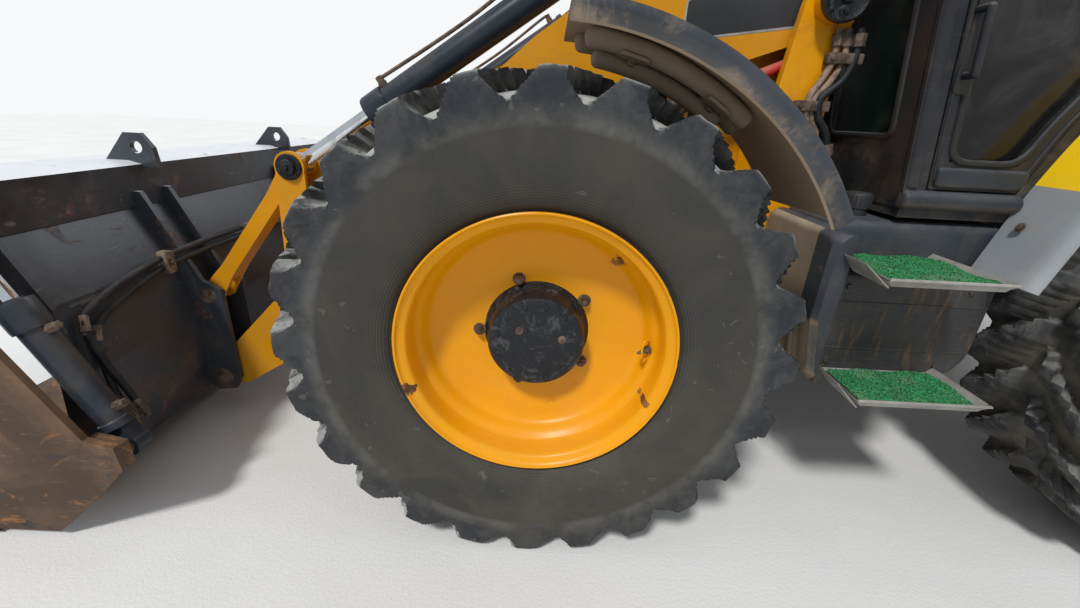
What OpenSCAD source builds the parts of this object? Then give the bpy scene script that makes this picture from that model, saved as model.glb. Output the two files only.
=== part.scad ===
// Backhoe loader: four equal steered wheels, a clam bucket on loader arms in front
// and a side-shift digger behind. Millimetres, +X forward, +Y left, +Z up.
// Side-view places are [x, z] pairs with x = 0 on the front axle and z = 0 on the ground.

/* [Wheels] */
// Distance between the axles
wheelbase = 2220; // [2180:10:2300]
// Diameter of a tyre over its lugs
tyre_d = 1390; // [1360:5:1400]
// Width of a tyre at its sidewalls
tyre_w = 440; // [400:5:450]
// Diameter over a rim's flanges
rim_d = 765; // [740:5:780]
// Width of a rim over its flanges
rim_w = 380; // [350:5:390]
// Middle plane of a wheel, from the machine's middle
wheel_y = 965; // [960:5:1000]
// Kingpin axis, from the machine's middle
kingpin_y = 800; // [790:5:810]
// Radius of a planetary hub
hub_r = 139; // [125:1:145]
// Radius of the kingpins
kingpin_r = 28; // [22:1:32]

/* [Chassis] */
// Half the distance between the outer faces of the rails
rail_y = 375; // [360:5:378]
// Thickness of a rail
rail_t = 60; // [40:5:70]
// Height of a rail
rail_h = 190; // [160:5:200]
// Height of the underside of the rails
rail_z = 805; // [800:5:815]
// Half the width of the side-shift frame
frame_y = 1150; // [1120:10:1170]
// Side of a stabiliser leg's outer box
leg_box = 150; // [140:5:160]

/* [Loader] */
// Middle plane of a loader arm, from the machine's middle
arm_y = 470; // [468:1:474]
// Width of a loader arm
arm_w = 96; // [84:2:100]
// Radius of the arm pivot pins
arm_pin_r = 32; // [26:1:36]
// Radius of the linkage pins
link_pin_r = 24; // [20:1:28]
// Radius of the lift and tipping cylinders
ram_r = 48; // [42:1:52]
// Radius of their rods
ram_rod_r = 25; // [22:1:30]

/* [Bucket] */
// Width over the side plates of the bucket
bucket_w = 2420; // [2380:10:2440]
// Thickness of the bucket's shell plates
shell_t = 14; // [10:1:18]
// Thickness of the bucket's side plates and ribs
plate_t = 20; // [16:1:25]

/* [Cab] */
// Half the width of the cab over its side walls
cab_y = 860; // [850:5:880]
// Thickness of the cab's walls and doors
cab_t = 50; // [40:5:55]
// Height of the top of the roof
roof_z = 2960; // [2900:10:2980]

/* [Digger] */
// Width of the boom
boom_w = 190; // [170:10:200]
// Width of the dipper
dipper_w = 160; // [140:10:170]
// Width of the digging bucket
hoe_w = 600; // [450:10:900]
// Radius of the digger's pins
hoe_pin_r = 25; // [20:1:28]
// Radius of the digger's cylinders
hoe_ram_r = 55; // [48:1:58]
// Radius of their rods
hoe_rod_r = 30; // [25:1:35]

/* [Hidden] */
$fn = 40;
pin_gap = 0.05;
axle_z = tyre_d / 2;
rear_x = -wheelbase;
flange_r = rim_d / 2;
seat_r = flange_r - 26;
paint_yellow = [0.93, 0.62, 0.08];
paint_black = [0.09, 0.09, 0.10];
steel_grey = [0.45, 0.45, 0.46];
chrome = [0.82, 0.83, 0.85];

// Loader pivots and joints in side view
arm_pivot = [-870, 1660];
bucket_pivot = [1330, 190];
lift_base = [-950, 830];
lift_eye = [50, 1225];
lift_y = 452;
tip_base = [-130, 1770];
tip_eye = [915, 1075];
link_foot = [1320, 560];
lever_foot = tip_eye + bucket_pivot - link_foot;
jaw_hinge = [1690, 975];
clam_foot = [1225, 300];
clam_eye = [1508, 935];
clam_y = bucket_w / 2 - 105;
lip = [2290, 28];

// Digger pivots in side view, boom up and dipper and bucket folded in
slew_x = -3520;
boom_foot = [-3770, 620];
boom_low = [-3510, 1800];
boom_high = [-3500, 2250];
boom_tip = [-3480, 3180];
boom_ram_base = [-3540, 985];
boom_ram_eye = [-3235, 2050];
dipper_ram_base = [-3215, 2178];
dipper_tail = [-3316, 3443];
hoe_pivot = [-4300, 1900];
hoe_curl = 50;
hoe_link_hole = [-272, 87];
hoe_link_foot = hoe_pivot + turned(hoe_link_hole, hoe_curl);
hoe_lever_foot = along(hoe_pivot, boom_tip, 330);
hoe_lever_tip = hoe_lever_foot + hoe_link_foot - hoe_pivot;
hoe_ram_base = along(hoe_pivot, boom_tip, 1300) + left_of(hoe_pivot, boom_tip) * 190;

// The origin lies under the middle of the parked machine
link_boss_r = 38;
ear_corner = [-290, 132];
front_x = lip[0];
back_x = hoe_pivot[0] + turned(ear_corner, hoe_curl)[0];
shift_x = -(front_x + back_x) / 2;

// A side-view vector turned counterclockwise
function turned(p, a) = [p[0] * cos(a) - p[1] * sin(a), p[0] * sin(a) + p[1] * cos(a)];

// A unit vector from p to q, and the one to its left
function way(p, q) = (q - p) / norm(q - p);
function left_of(p, q) = let (d = way(p, q)) [-d[1], d[0]];
function along(p, q, s) = p + way(p, q) * s;

function reversed(list) = [for (i = [len(list) - 1 : -1 : 0]) list[i]];

// Extrudes a side-view outline from y0 to y1
module side(y0, y1) {
    translate([0, y1, 0]) rotate([90, 0, 0]) linear_extrude(y1 - y0) children();
}

module both() {
    children();
    mirror([0, 1, 0]) children();
}

// A cylinder along Y at a side-view point
module pin(p, r, y0, y1) {
    translate([p[0], y0, p[1]]) rotate([-90, 0, 0]) cylinder(r = r, h = y1 - y0);
}

// A cylinder between two side-view points in the plane y
module tube(p, q, y, r) {
    d = q - p;
    translate([p[0], y, p[1]]) rotate([0, atan2(d[0], d[1]), 0]) cylinder(r = r, h = norm(d));
}

// A round tube through points in space with ball corners
module pipe(points, r) {
    for (i = [0 : len(points) - 2]) {
        a = points[i];
        d = points[i + 1] - a;
        translate(a) rotate([0, acos(d[2] / norm(d)), atan2(d[1], d[0])]) cylinder(r = r, h = norm(d));
    }
    for (i = [1 : len(points) - 2]) translate(points[i]) sphere(r * 1.02);
}

module block(x0, x1, y0, y1, z0, z1) {
    translate([x0, y0, z0]) cube([x1 - x0, y1 - y0, z1 - z0]);
}

// A side-view bar between two points that ends in circles of their own radii
module bar(p, rp, q, rq) {
    n = left_of(p, q) * 0.96;
    polygon([p + n * rp, q + n * rq, q - n * rq, p - n * rp]);
    translate(p) circle(rp);
    translate(q) circle(rq);
}

// A strip of even width t along a side-view path, to its left, with mitred corners
function mitre(path, i) =
    let (last = len(path) - 1, n1 = left_of(path[max(i - 1, 0)], path[max(i, 1)]),
        n2 = left_of(path[min(i, last - 1)], path[min(i + 1, last)]))
    (n1 + n2) / (1 + n1 * n2);
module strip(path, t) {
    polygon(concat(path, [for (i = [len(path) - 1 : -1 : 0]) path[i] + mitre(path, i) * t]));
}

// A cylinder's barrel: eye at p, gland at distance l towards q, and a rod with its eye at q
module barrel(p, q, l, y, r, eye_w) {
    side(y - eye_w / 2, y + eye_w / 2) bar(p, r * 0.9, along(p, q, r * 1.7), r * 0.75);
    tube(along(p, q, r * 1.6), along(p, q, l), y, r);
    tube(along(p, q, l - 60), along(p, q, l + 12), y, r * 1.14);
}

module barrel_bore(p, q, l, y, rod_r) {
    tube(along(p, q, 108), along(p, q, l + 40), y, rod_r + pin_gap);
}

module ram_rod(p, q, l, y, rod_r, eye_r, eye_w) {
    tube(along(p, q, l), along(p, q, norm(q - p) - eye_r * 0.5), y, rod_r);
    pin(q, eye_r, y - eye_w / 2, y + eye_w / 2);
}

// Everything is drawn inside this shift
module placed() {
    translate([shift_x, 0, 0]) children();
}

module at_wheel(x, s) {
    translate([x, 0, axle_z]) mirror([0, s < 0 ? 1 : 0, 0]) children();
}

// Chassis

module rails() {
    both() {
        block(-2980, 640, rail_y - rail_t, rail_y, rail_z, rail_z + rail_h);
        block(-1016, -730, rail_y - 1, 570, 760, 778);
        block(-1016, -730, rail_y - 1, rail_y + 5, 760, 900);
    }
    for (x = [-2860, -1560, -700, 230, 420]) block(x, x + 90, -rail_y + 1, rail_y - 1, rail_z + 8, rail_z + 90);
}

module nose() {
    difference() {
        side(-rail_y, rail_y) polygon([[560, 690], [770, 690], [800, 760], [800, 1000], [560, 1000]]);
        side(-220, 220) polygon([[740, 780], [840, 780], [840, 930], [740, 930]]);
    }
}

module shift_frame() {
    wall = 14;
    difference() {
        union() {
            for (z = [[560, 640], [1130, 1230]]) block(-3200, -3110, -frame_y + 10, frame_y - 10, z[0], z[1]);
            both() {
                block(-3200, -3020, 330, 460, 600, 1180);
                block(-3040, -2900, 330, rail_y, 790, 1040);
                block(-3210, -3210 + leg_box, frame_y - leg_box, frame_y, 330, 1330);
            }
        }
        both() block(-3210 + wall, -3210 + leg_box - wall, frame_y - leg_box + wall, frame_y - wall, 300, 1400);
    }
}

module chassis() color(paint_black) placed() {
    rails();
    nose();
    shift_frame();
}

module towers() color(paint_yellow) placed() both() {
    rear = [[-1016, 778], [-1016, 1020], [-925, 1120], [-925, 1560]];
    outline = concat(rear, [[-946, 1620], [-946, 1700], [-935, 1750], [-880, 1790], [-800, 1745], [-780, 1640],
        [-735, 1250], [-720, 900], [-780, 778]]);
    for (y = [[384, 400], [arm_y + arm_w / 2 + 12, 562]]) side(y[0], y[1]) polygon(outline);
    side(399, 531) strip(rear, -14);
    pin(hood_pivot, hinge_r * 2, 360, 385);
    pin(arm_pivot, arm_pin_r, 395, 545);
    pin(arm_pivot, 66, 560, 600);
    pin(lift_base, ram_rod_r, 395, 545);
}

module engine() color([0.25, 0.25, 0.26]) placed() {
    block(-760, 320, -240, 240, rail_z + 90, 1330);
}

module axle_beam(x) {
    translate([x, 0, axle_z]) {
        rotate([-90, 0, 0]) translate([0, 0, -680]) cylinder(r = 72, h = 1360);
        rotate([-90, 0, 0]) translate([0, 0, -130]) cylinder(r = 100, h = 260);
        both() {
            difference() {
                union() {
                    block(-58, 58, 610, 672, -178, 178);
                    for (z = [-178, 150]) {
                        block(-58, 58, 660, kingpin_y, z, z + 28);
                        translate([0, kingpin_y, z]) cylinder(r = 62, h = 28);
                    }
                }
                translate([0, kingpin_y, -200]) cylinder(r = kingpin_r + pin_gap, h = 400);
            }
        }
    }
}

module axles() color(paint_black) placed() {
    axle_beam(0);
    axle_beam(rear_x);
    block(-130, 130, -110, 110, axle_z + 60, rail_z + 8);
    block(rear_x - 110, rear_x + 110, -300, 300, axle_z + 40, rail_z - 1);
    tube([rear_x, axle_z], [-820, axle_z + 30], 0, 38);
    tube([-700, axle_z + 30], [0, axle_z], 0, 38);
    block(-1250, -660, -200, 200, axle_z - 90, rail_z + 8);
}

module knuckle(x, s) {
    at_wheel(x, s) {
        translate([0, kingpin_y, -145]) cylinder(r = 84, h = 290);
        translate([0, kingpin_y, -178]) cylinder(r = kingpin_r, h = 356);
        rotate([-90, 0, 0]) translate([0, 0, kingpin_y]) cylinder(r = 100, h = 128);
        rotate([-90, 0, 0]) translate([0, 0, kingpin_y + 100]) cylinder(r = 60, h = 82);
        block(-210, -60, kingpin_y - 30, kingpin_y + 20, -40, 10);
    }
}

// The front fenders turn with the wheels on a tube that comes up behind the tyre
fender_r = axle_z + 105;
fender_from = 93;
fender_to = 150;
fender_hold = 121.4;
module fender(s) {
    at_wheel(0, s) {
        rotate([90, 0, 0]) rotate([0, 0, fender_from]) rotate_extrude(angle = fender_to - fender_from)
            polygon([[fender_r - 8, -775], [fender_r, -775], [fender_r + 14, -1163], [fender_r + 24, -1180],
                [fender_r - 18, -1180], [fender_r - 18, -1173], [fender_r + 6, -1168]]);
        rotate([90, 0, 0]) rotate([0, 0, fender_from + 3]) rotate_extrude(angle = 34)
            translate([fender_r - 24, -900]) circle(24);
        hold = (fender_r - 24) * [cos(fender_hold), sin(fender_hold)];
        pipe([[-60, 790, 100], [-160, 790, 110], [-190, 712, 140], [-330, 712, 470], [hold[0], 712, hold[1]],
            [hold[0], 892, hold[1]]], 20);
    }
}

// Wheels

module rim_section() {
    e = rim_w / 2;
    polygon([[flange_r, e], [flange_r, e - 14], [seat_r + 8, e - 20], [seat_r, e - 30], [seat_r, e - 90],
        [330, 66], [330, -66], [seat_r, -e + 90], [seat_r, -e + 30], [seat_r + 8, -e + 20], [flange_r, -e + 14],
        [flange_r, -e], [flange_r - 8, -e], [seat_r - 9, -e + 18], [seat_r - 9, -e + 86], [321, -62], [321, 62],
        [seat_r - 9, e - 86], [seat_r - 9, e - 18], [flange_r - 8, e]]);
    polygon([[324, 0], [324, 18], [292, 46], [150, 30], [150, 14], [290, 30]]);
}

module wheel(x, s) {
    at_wheel(x, s) difference() {
        translate([0, wheel_y, 0]) rotate([-90, 0, 0]) {
            rotate_extrude() rim_section();
            rotate_extrude() polygon([[0, -30], [120, -30], [130, 0], [200, 6], [200, 16], [152, 20], [hub_r, 34],
                [hub_r, 112], [hub_r - 16, 126], [0, 126]]);
        }
        rotate([-90, 0, 0]) translate([0, 0, wheel_y - 40]) cylinder(r = 60 + pin_gap, h = 65);
    }
}

// A carcass with two rows of lugs that lean towards the middle of the tread, half a pitch apart
lug_count = 18;
lug_h = 36;
lug_w = 104;
lug_lean = 24.8;
module tyre(x, s, $fn = 24) {
    e = tyre_w / 2;
    r = tyre_d / 2;
    base = r - lug_h;
    mid = e / 2 - 7;
    inner = mid + 14;
    corner = inner * sin(lug_lean) + lug_w / 2 * cos(lug_lean);
    top = sqrt(r * r - corner * corner);
    first = 90 - asin(corner / r);
    half = [[seat_r + 1, 150], [flange_r + 2, e - 52], [flange_r + 60, e - 4], [560, e], [base, e - 50]];
    at_wheel(x, s) translate([0, wheel_y, 0]) rotate([-90, 0, 0]) {
        rotate_extrude() polygon(concat(half, [for (p = reversed(half)) [p[0], -p[1]]]));
        for (m = [0, 1], i = [0 : lug_count - 1])
            rotate([0, 0, first + (i + m / 2) * 360 / lug_count]) rotate([0, 90, 0]) mirror([m, 0, 0])
                translate([mid, 0, 0]) rotate([0, 0, -lug_lean]) side(-lug_w / 2, lug_w / 2)
                    polygon([[mid - 1, base - 24], [mid - 22, top], [-inner, top], [-inner, base - 24]]);
    }
}

// Side tanks, covers and steps

module tanks() color(paint_black) placed() both() {
    side(570, 930) polygon([[-1380, 640], [-1340, 570], [-865, 570], [-865, 900], [-1380, 900]]);
    side(570, 1000) polygon([[-866, 560], [-840, 560], [-812, 760], [-806, 1030], [-866, 1030]]);
    block(-870, -860, 570, 930, 600, 880);
    block(-1400, -860, 570, 855, 899, 1045);
    translate([-1000, 745, 1040]) cylinder(r = 40, h = 75);
}

trays = [[-1205, -870, 855, 1150, 930], [-1280, -900, 930, 1150, 575]];
module steps() color([0.62, 0.62, 0.60]) placed() both() {
    for (t = trays) {
        difference() {
            block(t[0], t[1], t[2], t[3], t[4], t[4] + 26);
            block(t[0] + 12, t[1] - 12, t[2] + 12, t[3] - 10, t[4] + 4, t[4] + 40);
        }
    }
}

module step_mats() color([0.10, 0.42, 0.26]) placed() both() {
    for (t = trays)
        block(t[0] + 20, t[1] - 20, t[2] + 20, t[3] - 18, t[4] + 4, t[4] + 30);
}

// Rear fenders are fixed to the cab and wide enough for the steered wheels
arch_top = 1600;
arch = [[-1345, 905], [-1407, 1110], [-1488, 1304], [-1590, 1470], [-1750, arch_top], [-2760, arch_top],
    [-2930, 1490], [-2990, 1300]];
fender_y = 1060;
module rear_fenders() color(paint_yellow) placed() both() {
    side(cab_y, fender_y) strip(arch, -16);
    side(fender_y - 14, fender_y) strip([for (i = [4 : len(arch) - 1]) arch[i]], -30);
}

module lamps() color([0.85, 0.85, 0.82]) placed() {
    both() {
        block(-944, -870, 640, 800, cab_top - 95, cab_top - 0.3);
        block(-3000, -2950.3, 640, 800, cab_top - 95, cab_top - 0.3);
        block(-3032, -3006, 880, 1036, 1300, 1390);
    }
}

exhaust_x = -480;
module exhaust() color(steel_grey) placed() {
    difference() {
        translate([exhaust_x, -300, 1560]) cylinder(r = 36, h = 360);
        side(-hood_y, -200) polygon([[-955, 1500], [-955, 1635], [-60, 1560], [-60, 1500]]);
    }
    translate([exhaust_x, -300, 1900]) rotate([0, -35, 0]) cylinder(r = 35, h = 110);
}

// Cab

front_knee = 1650;
function cab_front(z) = -979 + (z - front_knee) * (z < front_knee ? 0.13 : 0.03);
function front_edge(z0, z1, t) = [for (z = z0 < front_knee && z1 > front_knee ? [z0, front_knee, z1] : [z0, z1])
    [cab_front(z) - t, z]];
module front_band(z0, z1, t0, t1) {
    polygon(concat(front_edge(z0, z1, t0), reversed(front_edge(z0, z1, t1))));
}
cab_back = -2950;
cab_top = roof_z - 180;
cab_low = 1088;
floor_z = 1092;
door_x = -2040;
door_low = 1140;
hinge_at = [-2043, 878];
hinge_z = [1780, 2550];
hinge_r = 6;
side_outline = concat([for (i = [1 : 4]) arch[i] - [24, 0]], [[cab_back, arch_top - 2], [cab_back, cab_top]],
    reversed(front_edge(cab_low, cab_top, 0)), [[arch[1][0] - 24, cab_low]]);
door_sill = [[-1370, door_low + 6], [-1435, 1318], [-1545, 1500], [-1680, 1625], [-1760, 1645], [door_x, 1645]];
door_outline = concat(door_sill, [[door_x, cab_top - 60]], reversed(front_edge(door_low + 6, cab_top - 60, 70)));
door_pane = concat([[-1345, 1222], [-1390, 1330], [-1498, 1512], [-1640, 1650], [-1720, 1700], [door_x + 70, 1700],
    [door_x + 70, cab_top - 130]], reversed(front_edge(1222, cab_top - 130, 112)));

module front_panes(t0, t1) {
    side(-cab_y + 90, cab_y - 90) front_band(1720, cab_top - 70, t0, t1);
    both() side(440, cab_y - 90) front_band(1280, 1722, t0, t1);
}

module cab() color(paint_black) placed() {
    both() difference() {
        side(cab_y - cab_t, cab_y) polygon(side_outline);
        side(cab_y - cab_t - 5, cab_y + 5) door_opening();
        block(-2860, door_x - 110, cab_y - 100, cab_y + 10, 1720, cab_top - 90);
    }
    difference() {
        side(-cab_y + 1, cab_y - 1) front_band(cab_low, cab_top, 0, cab_t);
        front_panes(-20, cab_t + 20);
    }
    difference() {
        block(cab_back, cab_back + cab_t, -cab_y + 1, cab_y - 1, 1590, cab_top);
        block(cab_back - 9, cab_back + cab_t + 9, -cab_y + 110, cab_y - 110, 1690, cab_top - 90);
    }
    block(cab_back, cab_back + cab_t, -500, 500, 1050, 1600);
    block(-2930, -1150, -480, 480, 1050, floor_z);
    block(-1420, cab_front(cab_low) - 4, -cab_y + 4, cab_y - 4, 1060, floor_z);
    both() {
        block(-2930, -1400, 470, 500, 1050, arch_top);
        side(480, cab_y - 2) strip([for (i = [1 : 5]) arch[i]], 20);
        for (z = hinge_z) {
            translate([hinge_at[0], hinge_at[1], z - 26]) cylinder(r = 14, h = 25);
            translate([hinge_at[0], hinge_at[1], z - 20]) cylinder(r = hinge_r, h = 80);
            block(door_x - 70, hinge_at[0], cab_y - 1, hinge_at[1], z - 26, z - 1);
        }
        for (x = [-2700, -1500]) translate([x, 345, rail_z + rail_h]) cylinder(r = 28, h = 56);
        pipe([[-1010, 800, 2300], [-860, 990, 2330], [-860, 1010, 2200]], 12);
        block(-880, -850, 920, 1100, 1960, 2240);
    }
}

module door_opening() {
    polygon(concat([[-1376, door_low], [-1441, 1316], [-1551, 1498], [-1684, 1619], [-1762, 1639], [door_x - 6, 1639],
        [door_x - 6, cab_top - 54]], reversed(front_edge(door_low, cab_top - 54, 64))));
}

module roof() color([0.90, 0.60, 0.09]) placed() {
    side(-cab_y - 30, cab_y + 30) polygon([[cab_back - 60, cab_top], [cab_back - 40, roof_z - 60],
        [cab_back + 90, roof_z], [-1050, roof_z], [-860, roof_z - 70], [-830, cab_top + 20], [-850, cab_top]]);
}

module glass() color([0.35, 0.45, 0.42, 0.4]) placed() {
    front_panes(22, 28);
    both() block(-2860, door_x - 110, cab_y - 28, cab_y - 22, 1720, cab_top - 90);
    block(cab_back + 22, cab_back + 28, -cab_y + 110, cab_y - 110, 1690, cab_top - 90);
}

module interior() color([0.16, 0.16, 0.17]) placed() {
    translate([-2050, 0, floor_z]) cylinder(r = 170, h = 340);
    block(-2300, -1800, -250, 250, 1420, 1540);
    side(-240, 240) polygon([[-2300, 1535], [-2390, 2150], [-2270, 2160], [-2170, 1535]]);
    side(-330, 330) polygon([[-1230, floor_z], [-1230, 1720], [-1340, 1740], [-1440, 1560], [-1440, floor_z]]);
    tube([-1370, 1624], [-1562, 1792], 0, 30);
    translate([-1565, 0, 1795]) rotate([0, -49, 0]) rotate_extrude() translate([180, 0]) circle(14);
    translate([-1565, 0, 1795]) rotate([0, -49, 0]) translate([0, 0, -8]) cylinder(r = 50, h = 16);
    translate([-1565, 0, 1795]) rotate([0, -49, 0]) for (a = [0, 120, 240]) rotate([0, 0, a])
        translate([40, -12, -6]) cube([132, 24, 12]);
    both() block(-2860, -2600, 300, 460, floor_z, 1750);
}

module door(s) {
    mirror([0, s < 0 ? 1 : 0, 0]) {
        difference() {
            side(cab_y - cab_t, cab_y) polygon(door_outline);
            side(cab_y - cab_t - 5, cab_y + 5) polygon(door_pane);
        }
        pipe([for (q = [[-5, 1440], [40, 1440], [40, 1590], [-5, 1590]]) [cab_front(q[1]) - 91, cab_y + q[0], q[1]]], 10);
        for (z = hinge_z) difference() {
            union() {
                translate([hinge_at[0], hinge_at[1], z]) cylinder(r = 14, h = 60);
                block(hinge_at[0], door_x + 60, cab_y - 1, hinge_at[1], z, z + 60);
            }
            translate([hinge_at[0], hinge_at[1], z - 5]) cylinder(r = hinge_r + pin_gap, h = 70);
        }
    }
}

module door_glass(s) {
    mirror([0, s < 0 ? 1 : 0, 0]) side(cab_y - 28, cab_y - 22) polygon(door_pane);
}

// Engine cover

hood_y = 380;
hood_pivot = [-925, 1600];
hood_top = [[-955, 1635], [-60, 1560], [640, 1235], [790, 1170], [806, 1120]];
module hood() color(paint_yellow) placed() {
    difference() {
        side(-hood_y, hood_y) polygon(concat(hood_top, [[806, 1010], [-955, 1010]]));
        side(-hood_y + 8, hood_y - 8) polygon([[-1100, 900], [-1100, 1640], [-955, 1627], [-64, 1552], [636, 1227], [782, 1164],
            [794, 1120], [794, 900]]);
        pin(hood_pivot, hinge_r * 2 + pin_gap, -400, 400);
        for (i = [0 : 9]) block(780, 840, -250, 250, 1026 + i * 11, 1031 + i * 11);
    }
}

// Loader

// Yellow arms: a rear section to the knee, and a front section that narrows to the bucket pivot
module arm_outline() {
    polygon([[-900, 1750], [-60, 1608], [50, 1530], [270, 1340], [500, 1105], [800, 790], [890, 743], [955, 673],
        [1050, 563], [1285, 322], [1385, 190], [1330, 138], [1255, 140], [1060, 262], [700, 600], [125, 1262],
        [0, 1292], [-320, 1372], [-900, 1580]]);
    translate(arm_pivot) circle(92);
    translate(lever_foot) circle(44);
    translate(bucket_pivot) circle(66);
}

module arms() color(paint_yellow) placed() {
    both() difference() {
        union() {
            side(arm_y - arm_w / 2, arm_y + arm_w / 2) arm_outline();
            for (y = [[arm_y - arm_w / 2, arm_y - 32], [arm_y + 32, arm_y + arm_w / 2]])
                side(y[0], y[1]) polygon([[-300, 1600], [-215, 1760], [-185, 1815], [-130, 1832], [-85, 1805],
                    [-95, 1700], [-100, 1590]]);
            for (p = strut_ends) side(482, 490) polygon([p + [-34, 80], p + [34, 60], p + [22, -18], p + [-22, -18]]);
            for (y = [lift_y - 44, lift_y + 28]) side(y, y + 16)
                polygon([[-120, 1340], [0, 1180], [90, 1175], [150, 1300]]);
        }
        pin(arm_pivot, arm_pin_r + pin_gap, 300, 700);
        pin(bucket_pivot, link_pin_r + pin_gap, 300, 700);
        pin(lever_foot, link_pin_r + pin_gap, 300, 700);
        pin(tip_base, ram_rod_r + pin_gap, 300, 700);
        pin(lift_eye, link_pin_r + pin_gap, 300, 700);
    }
    pin([1000, 520], 90, -arm_y + 1, arm_y - 1);
}

strut_ends = [[-820, 1500], [-440, 1340]];
module struts() color([0.72, 0.10, 0.09]) placed() both() {
    tube(strut_ends[0], strut_ends[1], 508, 17);
    for (p = strut_ends) pin(p, 24, 490, 524);
}

lift_len = 935;
module lift_barrels() color(paint_black) placed() both() difference() {
    barrel(lift_base, lift_eye, lift_len, lift_y, ram_r, 56);
    barrel_bore(lift_base, lift_eye, lift_len, lift_y, ram_rod_r);
    pin(lift_base, ram_rod_r + pin_gap, 380, 560);
}

module lift_rods() color(chrome) placed() both() {
    ram_rod(lift_base, lift_eye, 115, lift_y, ram_rod_r, 36, 40);
}

module levers() color(paint_yellow) placed() both() {
    for (y = [[arm_y - arm_w / 2 - 26, arm_y - arm_w / 2 - 8], [arm_y + arm_w / 2 + 8, arm_y + arm_w / 2 + 26]])
        side(y[0], y[1]) bar(lever_foot, 62, tip_eye, 54);
    pin(lever_foot, link_pin_r, arm_y - arm_w / 2 - 12, arm_y + arm_w / 2 + 12);
    for (y = [[arm_y - arm_w / 2 - 12, arm_y - 25], [arm_y + 25, arm_y + arm_w / 2 + 12]])
        pin(tip_eye, link_pin_r, y[0], y[1]);
}

module links() color(paint_yellow) placed() both() difference() {
    union() {
        for (y = [[arm_y - 44, arm_y - 26], [arm_y + 26, arm_y + 44]]) side(y[0], y[1]) {
            bar(tip_eye, 44, along(tip_eye, link_foot, 150), 28);
            bar(along(tip_eye, link_foot, 520), 28, link_foot, 42);
        }
        side(arm_y - 44, arm_y + 44) bar(along(tip_eye, link_foot, 100), 28, along(tip_eye, link_foot, 560), 28);
    }
    pin(tip_eye, link_pin_r + pin_gap, 400, 560);
    pin(link_foot, link_pin_r + pin_gap, 400, 560);
}

tip_len = 900;
module tip_barrels() color(paint_black) placed() both() difference() {
    barrel(tip_base, tip_eye, tip_len, arm_y, ram_r, 56);
    barrel_bore(tip_base, tip_eye, tip_len, arm_y, ram_rod_r);
}

module tip_rods() color(chrome) placed() both() {
    ram_rod(tip_base, tip_eye, 300, arm_y, ram_rod_r, 44, 44);
}

// Bucket: a back shell with a top beam, ribs and ears, and a clam jaw on side plates
shell_path = [[1640, 940], [1520, 900], [1425, 700], [1390, 480], [1400, 260], [1460, 110], [1600, 40]];
module bucket() color([0.13, 0.12, 0.12]) placed() {
    w = clam_y - 65;
    difference() {
        union() {
            side(-w, w) strip(shell_path, -shell_t);
            side(-w, w) polygon([[1500, 905], [1500, 1050], [1545, 1062], [1760, 1062], [1780, 1010], [1640, 925]]);
            side(-clam_y - 60, clam_y + 60) polygon([[1600, 935], [1600, 1055], [1760, 1062], [1780, 1010], [1640, 925]]);
            both() {
                side(w - 16, w) polygon([[1500, 930], [1400, 700], [1380, 480], [1390, 260], [1440, 110], [1600, 34],
                    [1608, 60], [1500, 170], [1460, 480], [1560, 900]]);
                for (y = [arm_y - 68, arm_y + 68])
                    side(y - plate_t / 2, y + plate_t / 2) polygon([[1540, 960], [1480, 960], [1330, 620],
                        [1262, 585], [1262, 180], [1290, 130], [1370, 120], [1440, 200], [1430, 480], [1450, 700],
                        [1560, 920]]);
                side(arm_y - 10, arm_y + 10) difference() {
                    polygon([[1440, 1040], [1445, 1110], [1480, 1160], [1540, 1160], [1640, 1050], [1500, 1040]]);
                    translate([1505, 1110]) circle(22);
                }
                for (y = [clam_y - 34, clam_y + 34]) side(y - 9, y + 9)
                    polygon([[1458, 905], [1475, 985], [1620, 1040], [1640, 940], [1560, 895]]);
            }
        }
    }
    both() {
        for (p = [bucket_pivot, link_foot]) pin(p, link_pin_r, arm_y - 72, arm_y + 72);
        pin(jaw_hinge, 34, clam_y + 55, bucket_w / 2 - 2);
    }
}

module jaw() color([0.16, 0.13, 0.11]) placed() {
    w = bucket_w / 2;
    both() difference() {
        union() {
            side(w - plate_t, w) polygon([[1180, 360], [1175, 280], [1260, 190], [1440, 26], [lip[0] - 60, 26],
                [lip[0] - 30, 60], [1900, 900], [1840, 1000], [1740, 1060], [1640, 1050], [1500, 860], [1260, 380]]);
            side(clam_y + 50, w - plate_t + 2) polygon([[1185, 350], [1185, 270], [1270, 210], [1330, 300], [1270, 370]]);
        }
        pin(jaw_hinge, 34 + pin_gap, clam_y - 5, w + 20);
    }
    side(-w + 2, w - 2) polygon([[1640, 10], [lip[0] - 80, 10], lip, [lip[0] - 90, 44], [1640, 26]]);
    side(-clam_y - 35, clam_y + 35) polygon([[1625, 10], [1641, 10], [1641, 60], [1625, 60]]);
    both() pin(clam_foot, 22, clam_y - 40, clam_y + 55);
}

clam_len = 480;
module clam_barrels() color(paint_black) placed() both() difference() {
    barrel(clam_foot, clam_eye, clam_len, clam_y, 40, 50);
    barrel_bore(clam_foot, clam_eye, clam_len, clam_y, 22);
    pin(clam_foot, 22 + pin_gap, clam_y - 105, clam_y + 95);
}

module clam_rods() color(chrome) placed() both() {
    ram_rod(clam_foot, clam_eye, 200, clam_y, 22, 34, 44);
}

// Digger

module carriage() color(paint_black) placed() {
    difference() {
        union() {
            block(-3290, -3200.5, -330, 330, 480, 1290);
            for (z = [500, 850]) {
                block(slew_x, -3280, -104, 104, z, z + 55);
                translate([slew_x, 0, z]) cylinder(r = 104, h = 55);
            }
        }
        translate([slew_x, 0, 400]) cylinder(r = 40 + pin_gap, h = 600);
    }
}

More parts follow.
